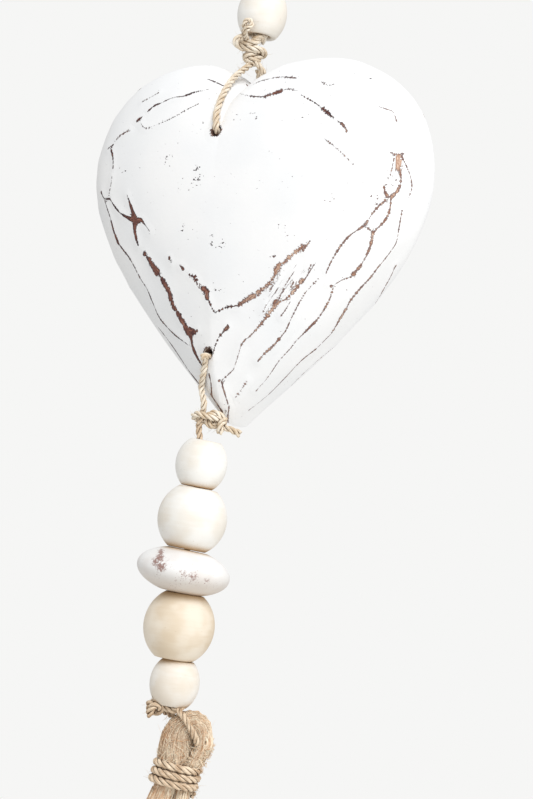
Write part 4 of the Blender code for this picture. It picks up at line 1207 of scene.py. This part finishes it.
tassel = dict(
    shift=7.0, lean=9.0, leanStart=14.0, eyeR=12.2, eyeZ=-17.0,
    neck=6.9, bindDrop=22.9, bindPitch=3.35, bindTilt=11.0, bindTurns=3,
    locks=46, inLock=15, headFibres=500, fringeFibres=260, matted=1100, fuzz=240, curls=60,
    strandR=0.24, fibreR=0.13, fuzzR=0.05, fuzzLength=(1.5, 5.5), roll=(205.5, 742, 5.6),
)
# the bundle's middle line from the left fringe over the fold to the right fringe:
# aside from the tassel's middle, height under the last bead, half width and half depth
hank = [
    (-5.4, -104, 7.0, 10.6), (-4.8, -80, 6.6, 9.6), (-4.2, -60, 6.2, 8.8), (-3.4, -42, 5.6, 8.0),
    (-2.4, -33, 5.0, 6.8), (-2.2, -25.5, 5.2, 6.9), (-2.4, -20, 6.7, 8.2), (-2.9, -13.5, 6.7, 8.8),
    (-1.2, -8.0, 5.8, 8.6), (2.6, -5.6, 4.8, 8.2), (5.8, -7.2, 4.4, 7.6), (7.4, -13.0, 3.4, 7.4),
    (6.8, -19.0, 3.6, 7.2), (4.8, -25.0, 3.0, 6.4), (4.6, -33, 3.0, 6.2), (5.2, -42, 3.6, 7.4),
    (6.0, -60, 4.6, 8.4), (6.4, -80, 5.2, 9.2), (6.6, -104, 5.6, 10.2),
]


def tasselPlace(r, f, z):
    lean = -math.tan(math.radians(tassel["lean"])) * max(0.0, -z - tassel["leanStart"])
    return chainPlace(tassel["shift"] + r + lean, f, beadEnd + z)


def hankLine():
    middle = smoothRoute([(r, 0, z) for r, z, _, _ in hank], 1.5)
    marks, walked = [0.0], 0.0
    for a, b in zip(hank, hank[1:]):
        walked += math.hypot(b[0] - a[0], b[1] - a[1])
        marks.append(walked)
    length = len(middle) - 1
    line = []
    for index, place in enumerate(middle):
        at = index / length * marks[-1]
        ahead = (middle[min(index + 1, length)] - middle[max(index - 1, 0)]).normalized()
        outward = Vector((-ahead.z, 0, ahead.x))
        halfWide, halfDeep = (np.interp(at, marks, [h[k] for h in hank]) for k in (2, 3))
        line.append((place, outward, halfWide, halfDeep))
    return line


def hankPlace(station, turn, share):
    place, outward, halfWide, halfDeep = station
    moved = place + outward * (math.cos(turn) * halfWide * share)
    return tasselPlace(moved.x, math.sin(turn) * halfDeep * share, moved.z)


def strandAlong(line, first, last, step, turn, share, wander, chance):
    phase, swing = chance.uniform(0, 6.28), chance.uniform(0.3, 1.0) * wander
    route = []
    for index in range(first, last, step):
        station = line[min(index, len(line) - 1)]
        drift = swing * (math.sin(index * 0.09 + phase) + 0.4 * math.sin(index * 0.31 + phase * 2))
        route.append(hankPlace(station, turn + drift, share + 0.03 * math.sin(index * 0.17 + phase)))
    return route


def hankLocks(line, chance):
    # the hank's outside: locks of fibres side by side, each with its own way and shade
    strands = Strands()
    for number in range(tassel["locks"]):
        turn = 2 * math.pi * (number + chance.uniform(-0.3, 0.3)) / tassel["locks"]
        share, lift = chance.uniform(0.93, 0.97), chance.uniform(0, 6.28)
        # painted shade: strands on the bundle's outer side, away from its middle line, get browner tones; the
        # rest of each tone is random
        outerEdgeShade = 0.5 + 0.5 * math.cos(turn)
        tone = min(1.0, max(0.0, 1.05 - 0.95 * outerEdgeShade + chance.uniform(-0.2, 0.2)))
        for _ in range(tassel["inLock"]):
            spread, depth = chance.gauss(0, 0.35), chance.uniform(-0.02, 0.02)
            first, last = chance.randrange(0, 7), len(line) - chance.randrange(0, 7)
            wave, sway = chance.uniform(0, 6.28), chance.uniform(0.2, 1.0)
            route = []
            for index in range(first, last, 3):
                drift = 0.12 * math.sin(index * 0.08 + lift) + 0.05 * math.sin(index * 0.23 + lift * 2)
                drift += 0.06 * sway * math.sin(index * 0.2 + wave)
                turned = turn + spread * 2 * math.pi / tassel["locks"] + drift
                waved = share + depth + 0.02 * math.sin(index * 0.3 + wave)
                route.append(hankPlace(line[index], turned, waved))
            thick = tassel["strandR"] * chance.uniform(0.6, 1.15)
            shade = min(1.0, max(0.0, tone + chance.uniform(-0.12, 0.12)))
            strands.tube(route, [thick] * len(route), 3, shade)
    strands.piece("jute_hank_locks", combedJute, "tassel", "jute")


def hankCore(line):
    sides, points, faces = 26, [], []
    for station in line:
        for k in range(sides):
            turn = 2 * math.pi * k / sides
            points.append(hankPlace(station, turn, 0.91 + 0.02 * math.sin(5 * turn + station[0].z * 0.2)))
    for ring in range(len(line) - 1):
        for k in range(sides):
            n = (k + 1) % sides
            a, b = ring * sides, (ring + 1) * sides
            faces.append((a + k, a + n, b + n, b + k))
    faces += [tuple(range(sides - 1, -1, -1)), tuple(range(len(points) - sides, len(points)))]
    meshPiece("jute_hank_core", [p * mm for p in points], faces, feltedJute, "tassel")


def looseJute(line, heights, chance):
    headFirst = next(k for k, z in enumerate(heights) if z > -27)
    headLast = max(k for k, z in enumerate(heights) if z > -27)
    fibres = Strands()
    for _ in range(tassel["headFibres"]):  # single fibres strayed from their locks
        first = chance.randrange(headFirst, headLast - 14)
        last = min(headLast, first + chance.randrange(12, 34))
        turn = chance.uniform(0, 2 * math.pi)
        route = strandAlong(line, first, last, 2, turn, chance.uniform(0.97, 1.06), 0.4, chance)
        thick = tassel["fibreR"] * chance.uniform(0.5, 1.2)
        fibres.tube(route, [thick] * len(route), 3, chance.uniform(0.1, 1.0))
    leftEnd = next(k for k, z in enumerate(heights) if z > -33)
    rightStart = max(k for k, z in enumerate(heights) if z > -33)
    for _ in range(tassel["fringeFibres"]):
        first, last = (chance.randrange(0, 9), leftEnd) if chance.random() < 0.6 else (rightStart, len(line))
        turn = chance.uniform(0, 2 * math.pi)
        route = strandAlong(line, first, last, 3, turn, chance.uniform(0.93, 1.1), 0.3, chance)
        thick = tassel["fibreR"] * chance.uniform(0.7, 1.6)
        fibres.tube(route, [thick] * len(route), 3, chance.random())
    low = [k for k in range(headFirst, headLast) if heights[k] < -12.5]
    for _ in range(tassel["matted"]):  # short fibres felted across the bundle above the binding
        index, turn = chance.choice(low), chance.uniform(0, 2 * math.pi)
        at = hankPlace(line[index], turn, chance.uniform(0.98, 1.06))
        outward = (at - tasselPlace(line[index][0].x, 0, heights[index])).normalized()
        up = Vector((0, 0, 1))
        heading = (outward.cross(up) * chance.choice((-1, 1)) + up * chance.uniform(-1.3, 1.3)).normalized()
        curl, route = chance.uniform(-0.9, 0.9), []
        for _ in range(7):
            route.append(at.copy())
            at = at + heading * chance.uniform(0.4, 0.9)
            heading = (heading + up * curl * 0.5 - outward * 0.1).normalized()
        thick = tassel["fibreR"] * chance.uniform(0.6, 1.3)
        fibres.tube(route, [thick] * 7, 3, chance.uniform(0.1, 0.9), closed=False)
    fibres.piece("jute_loose_fibres", combedJute, "tassel", "jute")


def juteFuzz(line, heights, chance):
    fuzz = Strands()
    low = next(k for k, z in enumerate(heights) if z > -40)
    high = max(k for k, z in enumerate(heights) if z > -40)
    up = Vector((0, 0, 1))
    for _ in range(tassel["fuzz"]):
        index, turn = chance.randrange(low, high), chance.uniform(0, 2 * math.pi)
        place = hankPlace(line[index], turn, 1.0)
        outward = (place - hankPlace(line[index], turn, 0.2)).normalized()
        around = (up, outward, outward.orthogonal().normalized())
        looseFibre(fuzz, place, around, 0.2, chance, chance.uniform(*tassel["fuzzLength"]), tassel["fuzzR"])
    u, v, ahead = tassel["roll"]
    middle = pixelPlace(u, v, tasselPlace(0, 0, tassel["eyeZ"]), ahead)
    for _ in range(tassel["curls"]):  # curled ends on the right-hand roll
        reach, start = chance.uniform(0.5, 3.4), chance.uniform(0, 6.28)
        ahead, route = 2.4 - reach * 0.75 + chance.uniform(-0.25, 0.25), []
        for step in range(14):
            turn, out = start + step * 0.4, reach * (1 + 0.02 * step)
            route.append(middle + rightward * (out * math.cos(turn) * 0.8) + up * (out * math.sin(turn) * 1.3)
                         + forward * ahead)
        fuzz.tube(route, [tassel["fibreR"]] * 14, 3, chance.uniform(0.2, 1.0), closed=False)
    fuzz.piece("jute_fuzz", combedJute, "tassel", "jute")


def tasselHank():
    line = hankLine()
    heights = [station[0].z for station in line]
    chance = random.Random(5)
    hankCore(line)
    hankLocks(line, chance)
    looseJute(line, heights, chance)
    juteFuzz(line, heights, chance)


def juteShades(name, deep, dark, light):
    # raw jute fibres, dry and a little silky: each strand has its own shade of straw or brown
    material, tree, shader = newMaterial(name, 0.85)
    shader.inputs["Specular IOR Level"].default_value = 0.25
    shader.inputs["Sheen Weight"].default_value = 0.9
    shader.inputs["Sheen Tint"].default_value = hexLinear("#FFDDB4")
    place = addNode(tree, "TexCoord", {}, {}, "Object")
    tone = addNode(tree, "Attribute", {"attribute_name": "tone"}, {}, "Fac")
    # streaks 1.1 mm wide drawn out to 5 mm, and patches of 8 mm
    drawn = addNode(tree, "Mapping", {}, {"Vector": place, "Scale": (1.0, 1.0, 0.22)})
    fine = addNode(tree, "TexNoise", {}, {
        "Vector": drawn, "Scale": 1 / (1.1 * mm), "Detail": 4.0, "Roughness": 0.7}, "Fac")
    broad = addNode(tree, "TexNoise", {}, {"Vector": place, "Scale": 1 / (8 * mm), "Detail": 2.0}, "Fac")
    shade = addNode(tree, "Math", timesPlus, {0: tone, 1: 0.45, 2: fine})
    whole = addNode(tree, "Math", timesPlus, {0: broad, 1: 0.5, 2: shade})
    paler = addNode(tree, "MapRange", eased, {"Value": whole, "From Min": 0.65, "From Max": 1.15})
    straw = addNode(tree, "Mix", blend, {0: paler, 6: hexLinear(dark), 7: hexLinear(light)}, 2)
    # painted shade: ambient occlusion turns the colour brown in the furrows between locks, which are about
    # 1.5 mm deep
    openness = addNode(tree, "AmbientOcclusion", {"samples": 8}, {"Distance": 1.5 * mm}, "AO")
    clear = addNode(tree, "MapRange", eased, {"Value": openness, "From Min": 0.0, "From Max": 0.12})
    colour = addNode(tree, "Mix", blend, {0: clear, 6: hexLinear(deep), 7: straw}, 2)
    tree.links.new(colour, shader.inputs["Base Color"])
    return material


# the first colour of each is the painted shade in the furrows
combedJute = juteShades("combed_jute_fibre", "#B58256", "#CC9A6E", "#FFF3DC")
feltedJute = juteShades("felted_jute_core", "#A67A54", "#CBA07A", "#FBEBD0")


# the rope above the tassel: picture points and how far ahead, then mm aside, ahead and up in the fold
tasselRope = dict(
    cordThick=2.8, tieThick=3.2,
    fromKnot=[(201.4, 416, 1.4), (199.8, 423, 1.0), (198.8, 430, 0.4)],
    overHead=[(176.4, 703, -0.2), (177.6, 708, 2.8), (181.6, 714, 6.6), (187, 721.6, 9.4),
              (192.6, 732, 9.8), (196.2, 741, 8.2), (197, 745.6, 4.6)],
    inFold=[(0, 0, 0), (0, -6.0, 0), (-0.6, -10.2, 1.4)],
    upAgain=[(8.0, -11.4, -11.0), (3.0, -9.0, -6.4), (-0.4, -4.6, -3.6), (-2.8, -2.0, -2.4)],
    tie=[(178, 706, 2.2), (172, 706.4, 2.2), (166, 706.6, 1.6), (160, 706, 1.8), (154.4, 702.6, 1.8),
         (149.6, 703.4, 0.6), (150, 708.6, -0.8), (156, 712, -0.6), (161, 710, 1.6), (159.6, 705.4, 3.6),
         (154, 705.4, 4.0), (150.6, 709.6, 3.0), (149.6, 715, 1.6)],
    link=[(160, 704, 1.4), (166, 707.6, 2.6), (172, 709.6, 3.4), (178, 709, 4.2), (182, 706, 3.0)],
)


def tasselRopes():
    near = chainPlace(0, 0, beadEnd - 9)
    route = runOf(tasselRope["fromKnot"], knots["lowerMiddle"])
    route += beadMiddles
    route += runOf(tasselRope["overHead"], near)
    eyeR, eyeZ = tassel["eyeR"], tassel["eyeZ"]
    route += [chainPlace(eyeR + r, f, beadEnd + (eyeZ + z)) for r, f, z in tasselRope["inFold"]]
    route += [chainPlace(r, f, beadEnd + z) for r, f, z in tasselRope["upAgain"]]
    strands = Strands()
    layRope(strands, route, tasselRope["cordThick"], random.Random(51))
    strands.piece("bead_rope", brownRope, "bead_cord", "rope")

    near = chainPlace(0, 0, beadEnd - 2)
    strands = Strands()
    layRope(strands, runOf(tasselRope["tie"], near), tasselRope["tieThick"], random.Random(52), frayEnd=True)
    layRope(strands, runOf(tasselRope["link"], near), tasselRope["tieThick"], random.Random(54))
    strands.piece("tie_rope_knot", brownRope, "tie_knot", "rope")

    strands = Strands()
    aroundR = tassel["neck"] * 1.06 + 1.8
    slope = math.tan(math.radians(tassel["bindTilt"]))
    route = []
    for step in range(12 * tassel["bindTurns"] + 1):
        turn = 2 * math.pi * step / 12
        drop = tassel["bindDrop"] + tassel["bindPitch"] * step / 12
        r = aroundR * math.cos(turn)
        route.append(tasselPlace(r, aroundR * math.sin(turn), -drop - slope * r))
    layRope(strands, route, rope["binding"], random.Random(53))
    strands.piece("tassel_rope_binding", brownRope, "tassel_binding", "rope")


tasselHank()
tasselRopes()
print("tassel bound")


# Stage: pale floor, plain soft light from the upper right
stage = dict(
    floorDrop=240.0, floorSize=2.4, floor="#EDEDEB", backdrop="#F6F6F5", ambient=0.63,
    lamps=dict(  # watts, size in metres, metres to the right, forward and up
        softKey=(17.5, 0.9, 0.25, 1.2, 1.1),
        softFill=(4.2, 0.5, 1.2, 0.8, -0.15),
    ),
)


def softStudio():
    scene = bpy.context.scene
    scene.view_settings.view_transform = "Standard"
    scene.view_settings.look = "None"
    world = bpy.data.worlds.new("studio")
    scene.world = world
    world.use_nodes = True
    tree = world.node_tree
    tree.nodes.clear()
    seen = addNode(tree, "Background", {}, {"Color": hexLinear(stage["backdrop"]), "Strength": 1.0})
    glow = addNode(tree, "Background", {}, {"Color": hexLinear("#FFFFFF"), "Strength": stage["ambient"]})
    straight = addNode(tree, "LightPath", {}, {}, "Is Camera Ray")
    both = addNode(tree, "MixShader", {}, {0: straight, 1: glow, 2: seen})
    addNode(tree, "OutputWorld", {}, {"Surface": both})
    middle = Vector((tipX, 0, tipZ + 60)) * mm
    for name, (power, size, aside, ahead, up) in stage["lamps"].items():
        bulb = bpy.data.lights.new(name, "AREA")
        bulb.shape = "DISK"
        bulb.size = size
        bulb.energy = power
        lamp = bpy.data.objects.new(name, bulb)
        bpy.context.collection.objects.link(lamp)
        lamp.location = middle + rightward * aside + forward * ahead + Vector((0, 0, up))
        lamp.rotation_mode = "QUATERNION"
        lamp.rotation_quaternion = (middle - lamp.location).to_track_quat("-Z", "Y")
    floorMesh = bpy.data.meshes.new("floor")
    low = cadBox[0].z - stage["floorDrop"] * mm
    half = stage["floorSize"] / 2
    corners = [(-half, -half, low), (half, -half, low), (half, half, low), (-half, half, low)]
    floorMesh.from_pydata(corners, [], [(0, 1, 2, 3)])
    material, tree, shader = newMaterial("pale_matt_floor", 0.9)
    shader.inputs["Base Color"].default_value = hexLinear(stage["floor"])
    floorMesh.materials.append(material)
    floor = bpy.data.objects.new("floor", floorMesh)
    bpy.context.collection.objects.link(floor)


softStudio()

print("scene made")
